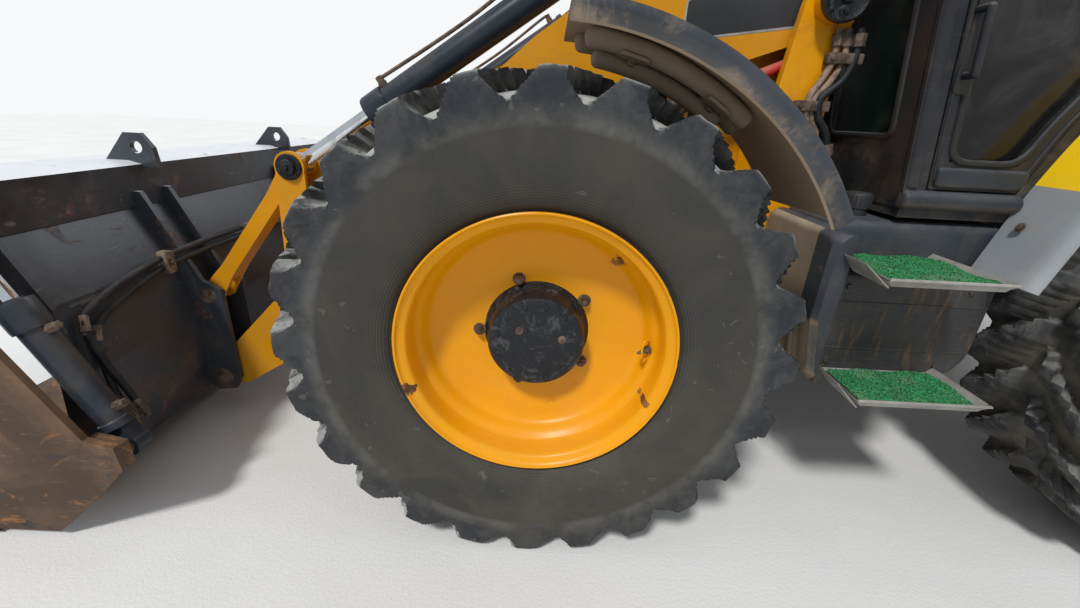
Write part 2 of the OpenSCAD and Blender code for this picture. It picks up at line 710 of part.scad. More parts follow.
module kingpost() color(paint_black) placed() difference() {
    union() {
        translate([slew_x, 0, 561]) cylinder(r = 108, h = 283);
        translate([slew_x, 0, 500]) cylinder(r = 40, h = 405);
        for (y = [[-150, -105], [105, 150]]) side(y[0], y[1]) polygon([[-3500, 562], [-3700, 562], [-3830, 562],
            [-3850, 660], [-3720, 980], [-3560, 1050], [-3480, 1040], [-3470, 912], [-3655, 912], [-3655, 840],
            [-3500, 840]]);
        block(-3560, -3480, -150, 150, 562, 843);
        pin(boom_ram_base, hoe_rod_r, -110, 110);
        pin(boom_foot, hoe_pin_r, -110, 110);
    }
}

module boom() color(paint_yellow) placed() {
    w = boom_w / 2;
    difference() {
        union() {
            side(-w, w) {
                bar(boom_foot, 70, boom_low, 105);
                bar(boom_low, 105, boom_high, 108);
                bar(boom_high, 108, along(boom_tip, boom_high, 600), 95);
            }
            for (m = [-1, 1]) {
                side(m * 78 - 14, m * 78 + 14) polygon([[-3480, 1700], [-3200, 1990], [-3170, 2060], [-3160, 2200],
                    [-3215, 2238], [-3420, 2400]]);
                side(m * 98 - 12, m * 98 + 12) bar(along(boom_tip, boom_high, 700), 98, boom_tip, 76);
            }
        }
        pin(boom_foot, hoe_pin_r + pin_gap, -200, 200);
        pin(dipper_ram_base, hoe_pin_r + pin_gap, -200, 200);
    }
    pin(boom_tip, hoe_pin_r, -112, 112);
}

module dipper() color(paint_yellow) placed() {
    w = dipper_w / 2;
    difference() {
        union() {
            side(-w, w) {
                bar(dipper_tail, 52, boom_tip, 92);
                bar(boom_tip, 92, along(boom_tip, hoe_pivot, 420), 100);
                bar(along(boom_tip, hoe_pivot, 420), 100, hoe_pivot, 58);
            }
            for (m = [-1, 1]) side(m * 60 - 12, m * 60 + 12) polygon([along(hoe_pivot, boom_tip, 1120),
                hoe_ram_base + [-70, -70], hoe_ram_base + [-50, 40], hoe_ram_base + [40, 50],
                along(hoe_pivot, boom_tip, 1420)]);
        }
        side(-44, 44) bar(dipper_tail, 85, along(dipper_tail, boom_tip, 105), 85);
        pin(boom_tip, hoe_pin_r + pin_gap, -200, 200);
        pin(hoe_lever_foot, hoe_pin_r + pin_gap, -200, 200);
        pin(hoe_ram_base, hoe_rod_r + pin_gap, -200, 200);
    }
    pin(hoe_pivot, hoe_pin_r, -w - 34, w + 34);
}

hoe_shell = [[70, -120], [-330, -70], [-480, -200], [-520, -380], [-440, -520], [-270, -590], [-60, -575]];
module hoe_bucket() color([0.14, 0.13, 0.12]) placed() {
    w = hoe_w / 2;
    in = dipper_w / 2 + 8;
    translate([hoe_pivot[0], 0, hoe_pivot[1]]) rotate([0, -hoe_curl, 0]) {
        side(-w, w) strip(hoe_shell, 18);
        both() side(w - 14, w) polygon(hoe_shell);
        side(-w + 2, w - 2) polygon([[-70, -575], [-70, -557], [20, -552], [50, -562], [20, -575]]);
        for (i = [-2 : 2]) side(i * (hoe_w - 60) / 4 - 22, i * (hoe_w - 60) / 4 + 22)
            polygon([[-20, -580], [-20, -548], [70, -540], [130, -555], [60, -580]]);
        both() difference() {
            side(in, in + 24) polygon([[60, -122], [48, 0], [20, 44], [-20, 48], [-250, 130], ear_corner, [-318, 100],
                [-326, 60], [-330, -72]]);
            for (p = [[0, 0], hoe_link_hole]) pin(p, hoe_pin_r + pin_gap, 0, 400);
        }
    }
}

module single_barrel(p, q, l, y, r, rod_r, pin_r, eye_w) color(paint_black) placed() difference() {
    barrel(p, q, l, y, r, eye_w);
    barrel_bore(p, q, l, y, rod_r);
    pin(p, pin_r + pin_gap, -200, 200);
}

module boom_barrel() single_barrel(boom_ram_base, boom_ram_eye, 960, 0, hoe_ram_r, hoe_rod_r, hoe_rod_r, 80);
module boom_rod() color(chrome) placed() ram_rod(boom_ram_base, boom_ram_eye, 160, 0, hoe_rod_r, 46, 70);
dipper_len = 672;
hoe_len = 646;
module dipper_barrel() color(paint_black) placed() {
    difference() {
        barrel(dipper_ram_base, dipper_tail, dipper_len, 0, hoe_ram_r, 80);
        barrel_bore(dipper_ram_base, dipper_tail, dipper_len, 0, hoe_rod_r);
    }
    pin(dipper_ram_base, hoe_pin_r, -91, 91);
}
module dipper_rod() color(chrome) placed() ram_rod(dipper_ram_base, dipper_tail, dipper_len - 20, 0, hoe_rod_r, 46, 70);
module hoe_barrel() color(paint_black) placed() {
    difference() {
        barrel(hoe_ram_base, hoe_lever_tip, hoe_len, 0, 46, 84);
        barrel_bore(hoe_ram_base, hoe_lever_tip, hoe_len, 0, 26);
    }
    pin(hoe_ram_base, hoe_rod_r, -71, 71);
}
module hoe_rod() color(chrome) placed() ram_rod(hoe_ram_base, hoe_lever_tip, hoe_len - 16, 0, 26, 38, 48);

module hoe_lever() color(paint_yellow) placed() {
    y = dipper_w / 2 + 8;
    both() {
        side(y, y + 22) bar(hoe_lever_foot, 46, hoe_lever_tip, 40);
        pin(hoe_lever_tip, hoe_pin_r, 30, y + 1);
    }
    pin(hoe_lever_foot, hoe_pin_r, -y - 2, y + 2);
}

module hoe_link() color(paint_yellow) placed() {
    both() difference() {
        side(34, 56) bar(hoe_lever_tip, link_boss_r, hoe_link_foot, link_boss_r);
        pin(hoe_lever_tip, hoe_pin_r + pin_gap, 0, 200);
    }
    pin(hoe_link_foot, hoe_pin_r, -dipper_w / 2 - 36, dipper_w / 2 + 36);
}

module leg(s) color(paint_black) placed() mirror([0, s < 0 ? 1 : 0, 0]) {
    y = frame_y - leg_box / 2;
    x = -3210 + leg_box / 2;
    translate([x - 60.5, y - 60.5, 300]) cube([121, 121, 960]);
    translate([x - 150, y - 110, 268]) cube([300, 220, 34]);
}

module knuckle_fl() color(paint_black) placed() { knuckle(0, 1); fender(1); }
module knuckle_fr() color(paint_black) placed() { knuckle(0, -1); fender(-1); }
module knuckle_rl() color(paint_black) placed() knuckle(rear_x, 1);
module knuckle_rr() color(paint_black) placed() knuckle(rear_x, -1);
module wheel_fl() color(paint_yellow) placed() wheel(0, 1);
module wheel_fr() color(paint_yellow) placed() wheel(0, -1);
module wheel_rl() color(paint_yellow) placed() wheel(rear_x, 1);
module wheel_rr() color(paint_yellow) placed() wheel(rear_x, -1);
module tyre_fl() color([0.12, 0.12, 0.12]) placed() tyre(0, 1);
module tyre_fr() color([0.12, 0.12, 0.12]) placed() tyre(0, -1);
module tyre_rl() color([0.12, 0.12, 0.12]) placed() tyre(rear_x, 1);
module tyre_rr() color([0.12, 0.12, 0.12]) placed() tyre(rear_x, -1);
module door_left() color(paint_black) placed() door(1);
module door_right() color(paint_black) placed() door(-1);
module door_left_glass() color([0.35, 0.45, 0.42, 0.4]) placed() door_glass(1);
module door_right_glass() color([0.35, 0.45, 0.42, 0.4]) placed() door_glass(-1);
module leg_left() leg(1);
module leg_right() leg(-1);

chassis();
towers();
engine();
axles();
tanks();
steps();
step_mats();
rear_fenders();
lamps();
exhaust();
cab();
roof();
glass();
interior();
door_left();
door_right();
door_left_glass();
door_right_glass();
hood();
knuckle_fl();
knuckle_fr();
knuckle_rl();
knuckle_rr();
wheel_fl();
wheel_fr();
wheel_rl();
wheel_rr();
tyre_fl();
tyre_fr();
tyre_rl();
tyre_rr();
arms();
struts();
lift_barrels();
lift_rods();
levers();
links();
tip_barrels();
tip_rods();
bucket();
jaw();
clam_barrels();
clam_rods();
carriage();
kingpost();
boom();
dipper();
hoe_bucket();
boom_barrel();
boom_rod();
dipper_barrel();
dipper_rod();
hoe_barrel();
hoe_rod();
hoe_lever();
hoe_link();
leg_left();
leg_right();
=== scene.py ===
"""Looks of the backhoe loader: surfaces, finishes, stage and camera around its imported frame."""

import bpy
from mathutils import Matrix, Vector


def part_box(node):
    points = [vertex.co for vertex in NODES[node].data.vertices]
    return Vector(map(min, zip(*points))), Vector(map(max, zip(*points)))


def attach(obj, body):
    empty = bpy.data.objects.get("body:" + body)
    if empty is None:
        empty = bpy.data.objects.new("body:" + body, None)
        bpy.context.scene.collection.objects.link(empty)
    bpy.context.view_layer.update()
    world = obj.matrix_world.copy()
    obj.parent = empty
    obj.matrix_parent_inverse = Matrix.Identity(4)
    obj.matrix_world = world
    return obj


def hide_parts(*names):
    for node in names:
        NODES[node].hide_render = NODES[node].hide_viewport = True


bl_info = {
    "name": "Backhoe loader looks",
    "version": (1, 0, 0),
    "blender": (4, 5, 0),
    "location": "View3D > Sidebar > Loader",
    "description": "Builds the tyres, rims, steps, trim and finishes of a backhoe loader",
    "category": "Object",
}

import bmesh
import bpy
import numpy as np
from mathutils import Matrix

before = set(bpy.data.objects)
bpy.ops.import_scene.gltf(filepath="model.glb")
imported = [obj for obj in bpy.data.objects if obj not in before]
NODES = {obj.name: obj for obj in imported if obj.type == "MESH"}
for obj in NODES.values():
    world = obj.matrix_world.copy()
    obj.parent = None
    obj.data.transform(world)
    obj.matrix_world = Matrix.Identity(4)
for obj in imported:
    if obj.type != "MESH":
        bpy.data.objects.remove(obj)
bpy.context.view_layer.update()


def middle(node):
    """The middle of a CAD node's box, as an array."""
    low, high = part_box(node)
    return (np.array(low) + np.array(high)) / 2


AXLE = middle("tyre_fl")
FRONT_X, AXLE_Z = float(AXLE[0]), float(AXLE[2])
REAR_X = float(middle("tyre_rl")[0])
TYRE_R = AXLE_Z
WHEELS = {
    "fl": (FRONT_X, 1, "front_left"),
    "fr": (FRONT_X, -1, "front_right"),
    "rl": (REAR_X, 1, "rear_left"),
    "rr": (REAR_X, -1, "rear_right"),
}
WHEEL_Y = abs(float(AXLE[1]))


def here(x, y, z):
    """A point measured from the front axle, as a point of the frame."""
    return np.array([x + FRONT_X, y, z], float)


# Grids and meshes


def field(x, y, z):
    """Points with these coordinates, over all the rows and columns that they span together."""
    return np.stack(np.broadcast_arrays(x, y, z), -1)


def quads(nu, nv, wrap_u, wrap_v):
    """Corner numbers of the quads between neighbours of an nu by nv grid."""
    i, j = np.meshgrid(np.arange(nu if wrap_u else nu - 1), np.arange(nv if wrap_v else nv - 1),
                       indexing="ij")
    i2, j2 = (i + 1) % nu, (j + 1) % nv
    return np.stack([i * nv + j, i2 * nv + j, i2 * nv + j2, i * nv + j2], -1).reshape(-1, 4)


class Skin:
    """Patches of grid surfaces that become one mesh."""

    def __init__(self):
        self.points, self.faces, self.slots, self.marks = [], [], [], {}
        self.count = 0

    def grid(self, P, wrap_u=False, wrap_v=False, slot=0, flip=False, caps=(), **marks):
        """Adds the grid P[u, v] = point, with caps on the rims named by 'first' or 'last' along u."""
        nu, nv = P.shape[:2]
        q = quads(nu, nv, wrap_u, wrap_v)
        if flip:
            q = q[:, ::-1]
        faces = (q + self.count).tolist()
        ring = np.arange(nv)
        if "first" in caps:
            faces.append((ring + self.count).tolist()[:: 1 if flip else -1])
        if "last" in caps:
            faces.append((ring + (nu - 1) * nv + self.count).tolist()[:: -1 if flip else 1])
        self.faces += faces
        self.slots += [slot] * len(faces)
        self.points.append(P.reshape(-1, 3))
        for name, values in marks.items():
            full = np.broadcast_to(np.asarray(values, float), (nu, nv)).reshape(-1)
            self.marks.setdefault(name, []).append((self.count, full))
        self.count += nu * nv
        return self

    def closed(self, P, **looks):
        """Adds rings P[u] with a cap on the first and on the last."""
        return self.grid(P, wrap_v=True, caps=("first", "last"), **looks)

    def turned(self, profile, at, axis, steps=48, **looks):
        """Adds a profile turned about an axis."""
        return self.grid(lathe(profile, at, axis, steps), wrap_u=True, **looks)

    def rims(self, top, low):
        """Adds the four strips between the edges of two sheets."""
        edges = ((top[0], low[0]), (low[-1], top[-1]), (low[:, 0], top[:, 0]), (top[:, -1], low[:, -1]))
        for a, b in edges:
            self.grid(np.stack([a, b]))

    def mirrored(self):
        """Adds a copy of all patches on the other side of the machine."""
        P = np.concatenate(self.points) * [1, -1, 1]
        base = self.count
        self.faces += [[c + base for c in f][::-1] for f in self.faces]
        self.slots += list(self.slots)
        self.points.append(P)
        for name in self.marks:
            self.marks[name] += [(start + base, values) for start, values in self.marks[name]]
        self.count += base
        return self

    def piece(self, name, body, finishes, slot=None, replaces=(), crease=40, weld=False):
        """Makes the mesh object, finished by these keys and riding on body, smooth but for edges sharper than
        crease degrees."""
        mesh = bpy.data.meshes.new(name)
        mesh.from_pydata(np.concatenate(self.points).tolist(), [], self.faces)
        for key, parts in self.marks.items():
            values = np.zeros(self.count)
            for start, part in parts:
                values[start:start + len(part)] = part
            mesh.attributes.new(key, "FLOAT", "POINT").data.foreach_set("value", values)
        mesh.polygons.foreach_set("material_index", self.slots)
        if weld:
            b = bmesh.new()
            b.from_mesh(mesh)
            bmesh.ops.remove_doubles(b, verts=b.verts, dist=1e-5)
            bmesh.ops.recalc_face_normals(b, faces=b.faces)
            b.to_mesh(mesh)
            b.free()
        mesh.polygons.foreach_set("use_smooth", [True] * len(mesh.polygons))
        mesh.set_sharp_from_angle(angle=np.radians(crease))
        for key in finishes.split():
            mesh.materials.append(FINISHES[key])
        obj = bpy.data.objects.new(name, mesh)
        bpy.context.scene.collection.objects.link(obj)
        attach(obj, body)
        if replaces:
            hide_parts(*replaces)
        return obj


def ring(steps, phase=0.0):
    """Angles of a full circle without its repeated end."""
    return np.linspace(0, 2 * np.pi, steps, endpoint=False) + phase


def lathe(profile, centre, axis, steps=48, phase=0.0):
    """P[u, k] = centre + r_k (cos u e1 + sin u e2) + h_k axis, for a profile of [h, r] rows."""
    axis = np.array(axis, float) / np.linalg.norm(axis)
    e1 = np.cross(axis, [0, 0, 1] if abs(axis[2]) < 0.9 else [1, 0, 0])
    e1 /= np.linalg.norm(e1)
    e2 = np.cross(axis, e1)
    h, r = np.array(profile, float).T
    u = ring(steps, phase)[:, None, None]
    around = np.cos(u) * e1 + np.sin(u) * e2
    return np.array(centre) + around * r[None, :, None] + h[None, :, None] * axis


def smooth_path(points, steps):
    """A Catmull-Rom curve through the points, steps samples for each span, as whole arrays."""
    p = np.array(points, float)
    p = np.vstack([2 * p[0] - p[1], p, 2 * p[-1] - p[-2]])
    t = np.linspace(0, 1, steps, endpoint=False)[None, :, None]
    a, b, c, d = (p[i:len(p) - 3 + i][:, None] for i in range(4))
    curve = 0.5 * (2 * b + (c - a) * t + (2 * a - 5 * b + 4 * c - d) * t ** 2
                   + (3 * b - a - 3 * c + d) * t ** 3)
    return np.vstack([curve.reshape(-1, p.shape[1]), p[-2]])


def hose(path, radius, sides=12, up=(0.13, 0.21, 0.97)):
    """Circles of a radius along a path, square to it: P = path + r (cos v n + sin v b)."""
    path = np.array(path, float)
    t = np.gradient(path, axis=0)
    t /= np.linalg.norm(t, axis=1)[:, None]
    n = np.cross(t, up)
    n /= np.linalg.norm(n, axis=1)[:, None]
    b = np.cross(t, n)
    v = ring(sides)[None, :, None]
    r = np.broadcast_to(np.asarray(radius, float), (len(path),))[:, None, None]
    return path[:, None] + r * (np.cos(v) * n[:, None] + np.sin(v) * b[:, None])


def outline_normals(p):
    """Mitred outward normals of a closed counterclockwise outline."""
    d = np.roll(p, -1, 0) - p
    d /= np.linalg.norm(d, axis=1)[:, None]
    n = np.stack([d[:, 1], -d[:, 0]], 1)
    m = n + np.roll(n, 1, 0)
    return m / np.maximum(1 + np.sum(n * np.roll(n, 1, 0), 1), 0.3)[:, None]


def rounded(p, r, steps=4):
    """A closed outline whose corners are cut by quadratic curves over a length r."""
    p = np.array(p, float)
    before, after = np.roll(p, 1, 0) - p, np.roll(p, -1, 0) - p
    lb, la = np.linalg.norm(before, axis=1)[:, None], np.linalg.norm(after, axis=1)[:, None]
    a = p + before / lb * np.minimum(r, lb * 0.45)
    c = p + after / la * np.minimum(r, la * 0.45)
    t = np.linspace(0, 1, steps)[None, :, None]
    return ((1 - t) ** 2 * a[:, None] + 2 * t * (1 - t) * p[:, None] + t ** 2 * c[:, None]).reshape(-1, 2)


def rectangle(a0, b0, a1, b1, r, steps=4):
    """A rectangle between two corners, its corners cut by curves."""
    return rounded([[a0, b0], [a1, b0], [a1, b1], [a0, b1]], r, steps)


def slab(p, low, high, edge, frame_of):
    """A plate of outline p from low to high whose rims are rounded by edge; frame_of(a, b, h) places it."""
    p = np.array(p, float)
    if np.sum(p[:, 0] * np.roll(p[:, 1], -1) - p[:, 1] * np.roll(p[:, 0], -1)) < 0:
        p = p[::-1]
    n = outline_normals(p)
    q = np.linspace(0, np.pi / 2, 4)
    inset = np.concatenate([edge * (1 - np.sin(q)), edge * (1 - np.cos(q))])
    h = np.concatenate([low + edge * (1 - np.cos(q)), high - edge * (1 - np.sin(q))])
    a = p[None] - n[None] * inset[:, None, None]
    return frame_of(a[..., 0], a[..., 1], np.broadcast_to(h[:, None], a.shape[:2]))


def across(a, b, h):
    """Outline in side view, thickness along Y, measured from the front axle."""
    return np.stack([a + FRONT_X, h, b], -1)


def flat(a, b, h):
    """Outline in plan, thickness along Z, measured from the front axle."""
    return np.stack([a + FRONT_X, b, h], -1)


def facing(a, b, h):
    """Outline across the machine, thickness along X, measured from the front axle."""
    return np.stack([h + FRONT_X, a, b], -1)


def cushion(centre, half, power=0.35, steps=(28, 20)):
    """A superellipsoid: |x|^(2/p) + |y|^(2/p) + |z|^(2/p) = 1 stretched by half."""
    u = ring(steps[0])[:, None]
    v = np.linspace(-np.pi / 2, np.pi / 2, steps[1])[None, :]

    def s(x):
        return np.sign(x) * np.abs(x) ** power

    unit = field(s(np.cos(v)) * s(np.cos(u)), s(np.cos(v)) * s(np.sin(u)), s(np.sin(v)))
    return np.array(centre) + unit * np.array(half)


def bolt(skin, at, axis, r, slot=0, washer=1.5, height=0.7):
    """A hexagon head on a round washer."""
    h = r * height
    head = [[0, r], [h * 0.8, r], [h, r * 0.86], [h, 1e-4]]
    disc = [[0, 1e-4], [0, r * washer], [r * 0.16, r * washer], [r * 0.22, r * (washer - 0.12)],
            [r * 0.22, r * 0.8]]
    skin.turned(disc, at, axis, 20, slot=slot)
    base = np.array(at) + np.array(axis, float) / np.linalg.norm(axis) * r * 0.2
    skin.turned(head, base, axis, 6, slot=slot)


# Finishes


class Wire:
    """A shader value: arithmetic on it adds Math nodes."""

    def __init__(self, finish, socket):
        self.finish, self.socket = finish, socket

    def maths(self, operation, a, b):
        return self.finish.node("ShaderNodeMath", {"operation": operation}, {0: a, 1: b})

    def __add__(self, o):
        return self.maths("ADD", self, o)

    def __radd__(self, o):
        return self.maths("ADD", o, self)

    def __sub__(self, o):
        return self.maths("SUBTRACT", self, o)

    def __rsub__(self, o):
        return self.maths("SUBTRACT", o, self)

    def __mul__(self, o):
        return self.maths("MULTIPLY", self, o)


class Finish:
    """A material built from wires."""

    def __init__(self, name):
        self.material = bpy.data.materials.new(name)
        self.material.use_nodes = True
        self.tree = self.material.node_tree
        self.shader = self.tree.nodes["Principled BSDF"]
        self.place = self.node("ShaderNodeTexCoord", out="Object")

    def node(self, kind, settings=None, sockets=None, out=0):
        """Adds a node with its settings, then its sockets' values or wires, and gives one output."""
        n = self.tree.nodes.new(kind)
        for key, value in (settings or {}).items():
            setattr(n, key, value)
        for key, value in (sockets or {}).items():
            self.put(n.inputs[key], value)
        return Wire(self, n.outputs[out])

    def put(self, socket, value):
        """Sets a socket, or links a wire to it."""
        if isinstance(value, Wire):
            self.tree.links.new(value.socket, socket)
        elif socket.type == "RGBA" and len(value) == 3:
            socket.default_value = (*value, 1)
        else:
            socket.default_value = value

    def noise(self, scale, detail=4.0, rough=0.55, warp=0.0, place=None):
        sockets = {"Vector": place or self.place, "Scale": scale, "Detail": detail, "Roughness": rough}
        return self.node("ShaderNodeTexNoise", None, {**sockets, "Distortion": warp})

    def cells(self, scale):
        return self.node("ShaderNodeTexVoronoi", None, {"Vector": self.place, "Scale": scale})

    def stretched(self, scale, turn=(0, 0, 0)):
        return self.node("ShaderNodeMapping", None,
                         {"Vector": self.place, "Scale": scale, "Rotation": turn})

    def ramp(self, value, low, high):
        """0 below low, 1 above high, smooth between."""
        return self.node("ShaderNodeMapRange", {"interpolation_type": "SMOOTHSTEP"},
                         {"Value": value, "From Min": low, "From Max": high})

    def mix(self, mask, a, b):
        return self.node("ShaderNodeMix", {"data_type": "RGBA"}, {0: mask, 6: a, 7: b}, out=2)

    def mark(self, name):
        return self.node("ShaderNodeAttribute", {"attribute_name": name}, out="Fac")

    def up(self):
        """How far the surface faces up, from -1 to 1."""
        normal = self.node("ShaderNodeNewGeometry", out="Normal")
        return self.node("ShaderNodeSeparateXYZ", None, {0: normal}, out=2)

    def height(self):
        return self.node("ShaderNodeSeparateXYZ", None, {0: self.place}, out=2)

    def bump(self, value, distance):
        relief = self.node("ShaderNodeBump", None, {"Height": value, "Distance": distance, "Strength": 1.0})
        self.put(self.shader.inputs["Normal"], relief)

    def set(self, **values):
        for key, value in values.items():
            self.put(self.shader.inputs[key.replace("_", " ")], value)
        return self.material


DUST = (0.27, 0.21, 0.15)
RUST = (0.23, 0.085, 0.03)
DARK_RUST = (0.09, 0.035, 0.018)
FINISHES = {}


def worn_paint(name, colour, dust=0.35, rust=0.3, gloss=0.36, shade=0.12, low_dirt=0.0, scratch=0.3,
               dust_colour=DUST, shine=0.24):
    """Paint with drifting tone, dust in soft clouds, chips to rust, fine scratches and orange peel."""
    f = Finish(name)
    broad, fine = f.noise(1.7, 5), f.noise(14, 6, 0.62)
    c = np.array(colour)
    base = f.mix(f.ramp(broad, 0.35, 0.68), tuple(c * (1 - shade)),
                 tuple(np.minimum(c * (1 + shade * 0.6), 1)))
    cloud = f.noise(3.1, 8, 0.68, 0.6)
    level = f.ramp(cloud + f.up() * 0.16, 0.47, 0.78) * dust
    if low_dirt:
        level = level + (1 - f.ramp(f.height(), 0.15, 1.5)) * f.ramp(fine, 0.35, 0.62) * low_dirt
    base = f.mix(level, base, dust_colour)
    lines = f.noise(9, 3, 0.6, 0.4, f.stretched((1, 1, 26), (0.35, 0.2, 0.1)))
    marks = f.ramp(lines, 0.67, 0.71) * scratch
    base = f.mix(marks, base, tuple(c * 0.35 + 0.08))
    spots = f.ramp(f.noise(7.5, 9, 0.72, 0.3), 0.66 - 0.05 * rust, 0.7) * min(1, rust * 2.2)
    deep = f.ramp(f.noise(31, 4), 0.4, 0.65)
    base = f.mix(spots, base, f.mix(deep, DARK_RUST, RUST))
    chip = f.ramp(f.noise(26, 6, 0.7) + f.mark("wear") * 0.45, 0.76, 0.82)
    base = f.mix(chip, base, f.mix(deep, DARK_RUST, (0.25, 0.11, 0.035)))
    spots = spots + chip
    f.bump(fine * 0.25 + spots * -0.7 + level * 0.35 + f.noise(220, 2) * 0.06, 0.0016)
    return f.set(Base_Color=base, Roughness=gloss + level * 0.45 + spots * 0.4 + marks * 0.15,
                 Specular_IOR_Level=shine)


def scuffed_steel(name, painted_reflection_amount=1.0):
    """Black bucket plate: a painted sky reflection, near white, on up-facing faces of the top beam, brown
    dust low down, rust in patches and long scrapes.
    """
    f = Finish(name)
    broad, fine = f.noise(1.3, 6, 0.6, 0.5), f.noise(16, 8, 0.7)
    base = f.mix(f.ramp(broad, 0.38, 0.62), (0.018, 0.02, 0.025), (0.046, 0.052, 0.062))
    patch = f.ramp(f.noise(2.6, 10, 0.72, 1.1), 0.56, 0.66)
    grit = f.ramp(fine, 0.42, 0.6)
    base = f.mix(patch * grit, base,
                 f.mix(f.ramp(f.noise(40, 4), 0.4, 0.62), DARK_RUST, (0.3, 0.13, 0.055)))
    low = (1 - f.ramp(f.height(), 0.08, 0.52)) * f.ramp(f.noise(5, 9, 0.72, 0.5), 0.42, 0.62)
    base = f.mix(low * 0.7, base,
                 f.mix(f.ramp(fine, 0.45, 0.65), (0.115, 0.07, 0.042), (0.32, 0.15, 0.062)))
    specks = f.ramp(f.noise(55, 5, 0.7), 0.6, 0.7) * f.ramp(f.noise(3.5, 6), 0.42, 0.6)
    base = f.mix(specks * 0.35, base, (0.26, 0.26, 0.27))
    dust = f.ramp(f.noise(5, 9, 0.7, 0.8), 0.52, 0.76) * 0.42
    base = f.mix(dust, base, (0.13, 0.125, 0.12))
    # Painted reflection: up-facing faces high on the bucket turn near white in patches, standing for the sky
    # mirrored in the top beam; the last argument scales it.
    reflection_breakup = 1 - f.ramp(fine, 0.56, 0.72) * 0.5
    painted_sky_reflection = f.ramp(f.up(), 0.8, 0.93) * reflection_breakup * f.ramp(f.height(), 0.85, 0.95) * painted_reflection_amount
    base = f.mix(painted_sky_reflection, base, (0.8, 0.81, 0.82))
    lines = f.ramp(f.noise(7, 4, 0.6, 0.5, f.stretched((24, 1, 3), (0.2, 0.5, 0.3))), 0.66, 0.7)
    base = f.mix(lines * 0.4, base, (0.25, 0.24, 0.23))
    f.bump(fine * 0.4 + patch * grit * 0.5 + low * 0.6, 0.0022)
    return f.set(Base_Color=base, Metallic=0.25, Roughness=0.38 + patch * 0.35 + low * 0.35 + dust * 0.3,
                 Specular_IOR_Level=0.35)


def side_plate_steel(name):
    """The jaw's plates: brown dust over worn black, brighter scrapes by the edge."""
    f = Finish(name)
    broad, fine = f.noise(1.9, 7, 0.66, 0.8), f.noise(18, 8, 0.7)
    base = f.mix(f.ramp(broad, 0.36, 0.66), (0.066, 0.04, 0.026), (0.165, 0.094, 0.052))
    orange = f.ramp(f.noise(3.4, 8, 0.7, 1.2), 0.56, 0.68) * (1 - f.ramp(f.height(), 0.2, 0.9))
    base = f.mix(orange * 0.9, base, (0.36, 0.165, 0.06))
    black = f.ramp(f.noise(4.4, 8, 0.72, 0.7), 0.58, 0.66)
    base = f.mix(black, base, (0.035, 0.032, 0.032))
    lines = f.ramp(f.noise(9, 4, 0.6, 0.3, f.stretched((2, 1, 20), (0.1, 0.4, 0.2))), 0.64, 0.7)
    base = f.mix(lines * 0.35, base, (0.3, 0.25, 0.2))
    f.bump(fine * 0.5 + orange * 0.4, 0.0022)
    return f.set(Base_Color=base, Metallic=0.15, Roughness=0.58 + orange * 0.2 - black * 0.12,
                 Specular_IOR_Level=0.28)


def tyre_rubber(name):
    """Blue-black lugs with scuffed tops, brown-grey sidewalls with rings, dusty hollows and thin cuts."""
    f = Finish(name)
    lug, wall, top = f.mark("lug"), f.mark("wall"), f.mark("top")
    fine, broad = f.noise(30, 8, 0.7), f.noise(3, 6, 0.6, 0.4)
    base = f.mix(f.ramp(broad, 0.35, 0.66), (0.028, 0.029, 0.029), (0.042, 0.041, 0.038))
    cloud = f.ramp(f.noise(5, 9, 0.68, 0.6), 0.34, 0.68)
    base = f.mix(wall * (0.3 + cloud * 0.5), base, (0.06, 0.055, 0.045))
    rings = f.node("ShaderNodeMath", {"operation": "SINE"}, {0: f.mark("radius") * 900})
    rings = rings * (1 - f.ramp(f.mark("radius"), 0.42, 0.47))
    base = f.mix(wall * f.ramp(rings, 0.3, 1.0) * 0.25, base, (0.09, 0.084, 0.07))
    hollow = (1 - lug) * (1 - wall) * f.ramp(f.noise(7, 6, 0.65), 0.34, 0.62)
    base = f.mix(hollow * 0.85, base, f.mix(f.mark("pale"), (0.11, 0.095, 0.072), (0.215, 0.205, 0.18)))
    base = f.mix(lug * 0.85, base,
                 f.mix(f.ramp(fine, 0.35, 0.7), (0.017, 0.02, 0.025), (0.034, 0.037, 0.042)))
    worn = f.ramp(f.noise(9, 9, 0.75, 0.6), 0.42, 0.62)
    base = f.mix((top * 0.6 + lug * 0.16) * worn, base, (0.17, 0.165, 0.15))
    # Pale grey in patches on up-facing hollows and lug tops: dust, and painted light from above.
    dust_and_top_light = ((1 - lug) * (1 - wall) + top) * f.ramp(f.up(), 0.0, 0.7) * f.ramp(fine, 0.26, 0.56)
    base = f.mix(dust_and_top_light * 0.88 * f.mark("pale"), base, (0.43, 0.43, 0.405))
    low = 1 - f.ramp(f.height(), 0.1, 0.75)
    base = f.mix(low * cloud * 0.3, base, (0.105, 0.088, 0.066))
    cuts = f.ramp(f.noise(13, 3, 0.6, 1.6, f.stretched((1, 3, 1))), 0.665, 0.68)
    base = f.mix(cuts * 0.35, base, (0.14, 0.13, 0.115))
    f.bump(fine * 0.45 + f.noise(150, 3) * 0.2 - cuts * 0.8 + worn * top * 0.5 + rings * wall
           * 0.12, 0.0022)
    return f.set(Base_Color=base, Roughness=0.66 + top * worn * 0.2 + wall * 0.1, Specular_IOR_Level=0.22)


def hub_black(name):
    """Thick black paint with cast lumps, scuffs and a dusty rim."""
    f = Finish(name)
    scuff = f.ramp(f.noise(22, 9, 0.75, 1.0), 0.5, 0.64)
    base = f.mix(scuff, (0.01, 0.011, 0.013), (0.055, 0.056, 0.058))
    f.bump(f.noise(26, 5, 0.6) * 0.9 + f.cells(34) * 0.4, 0.004)
    return f.set(Base_Color=base, Roughness=0.4 + scuff * 0.3, Specular_IOR_Level=0.3)


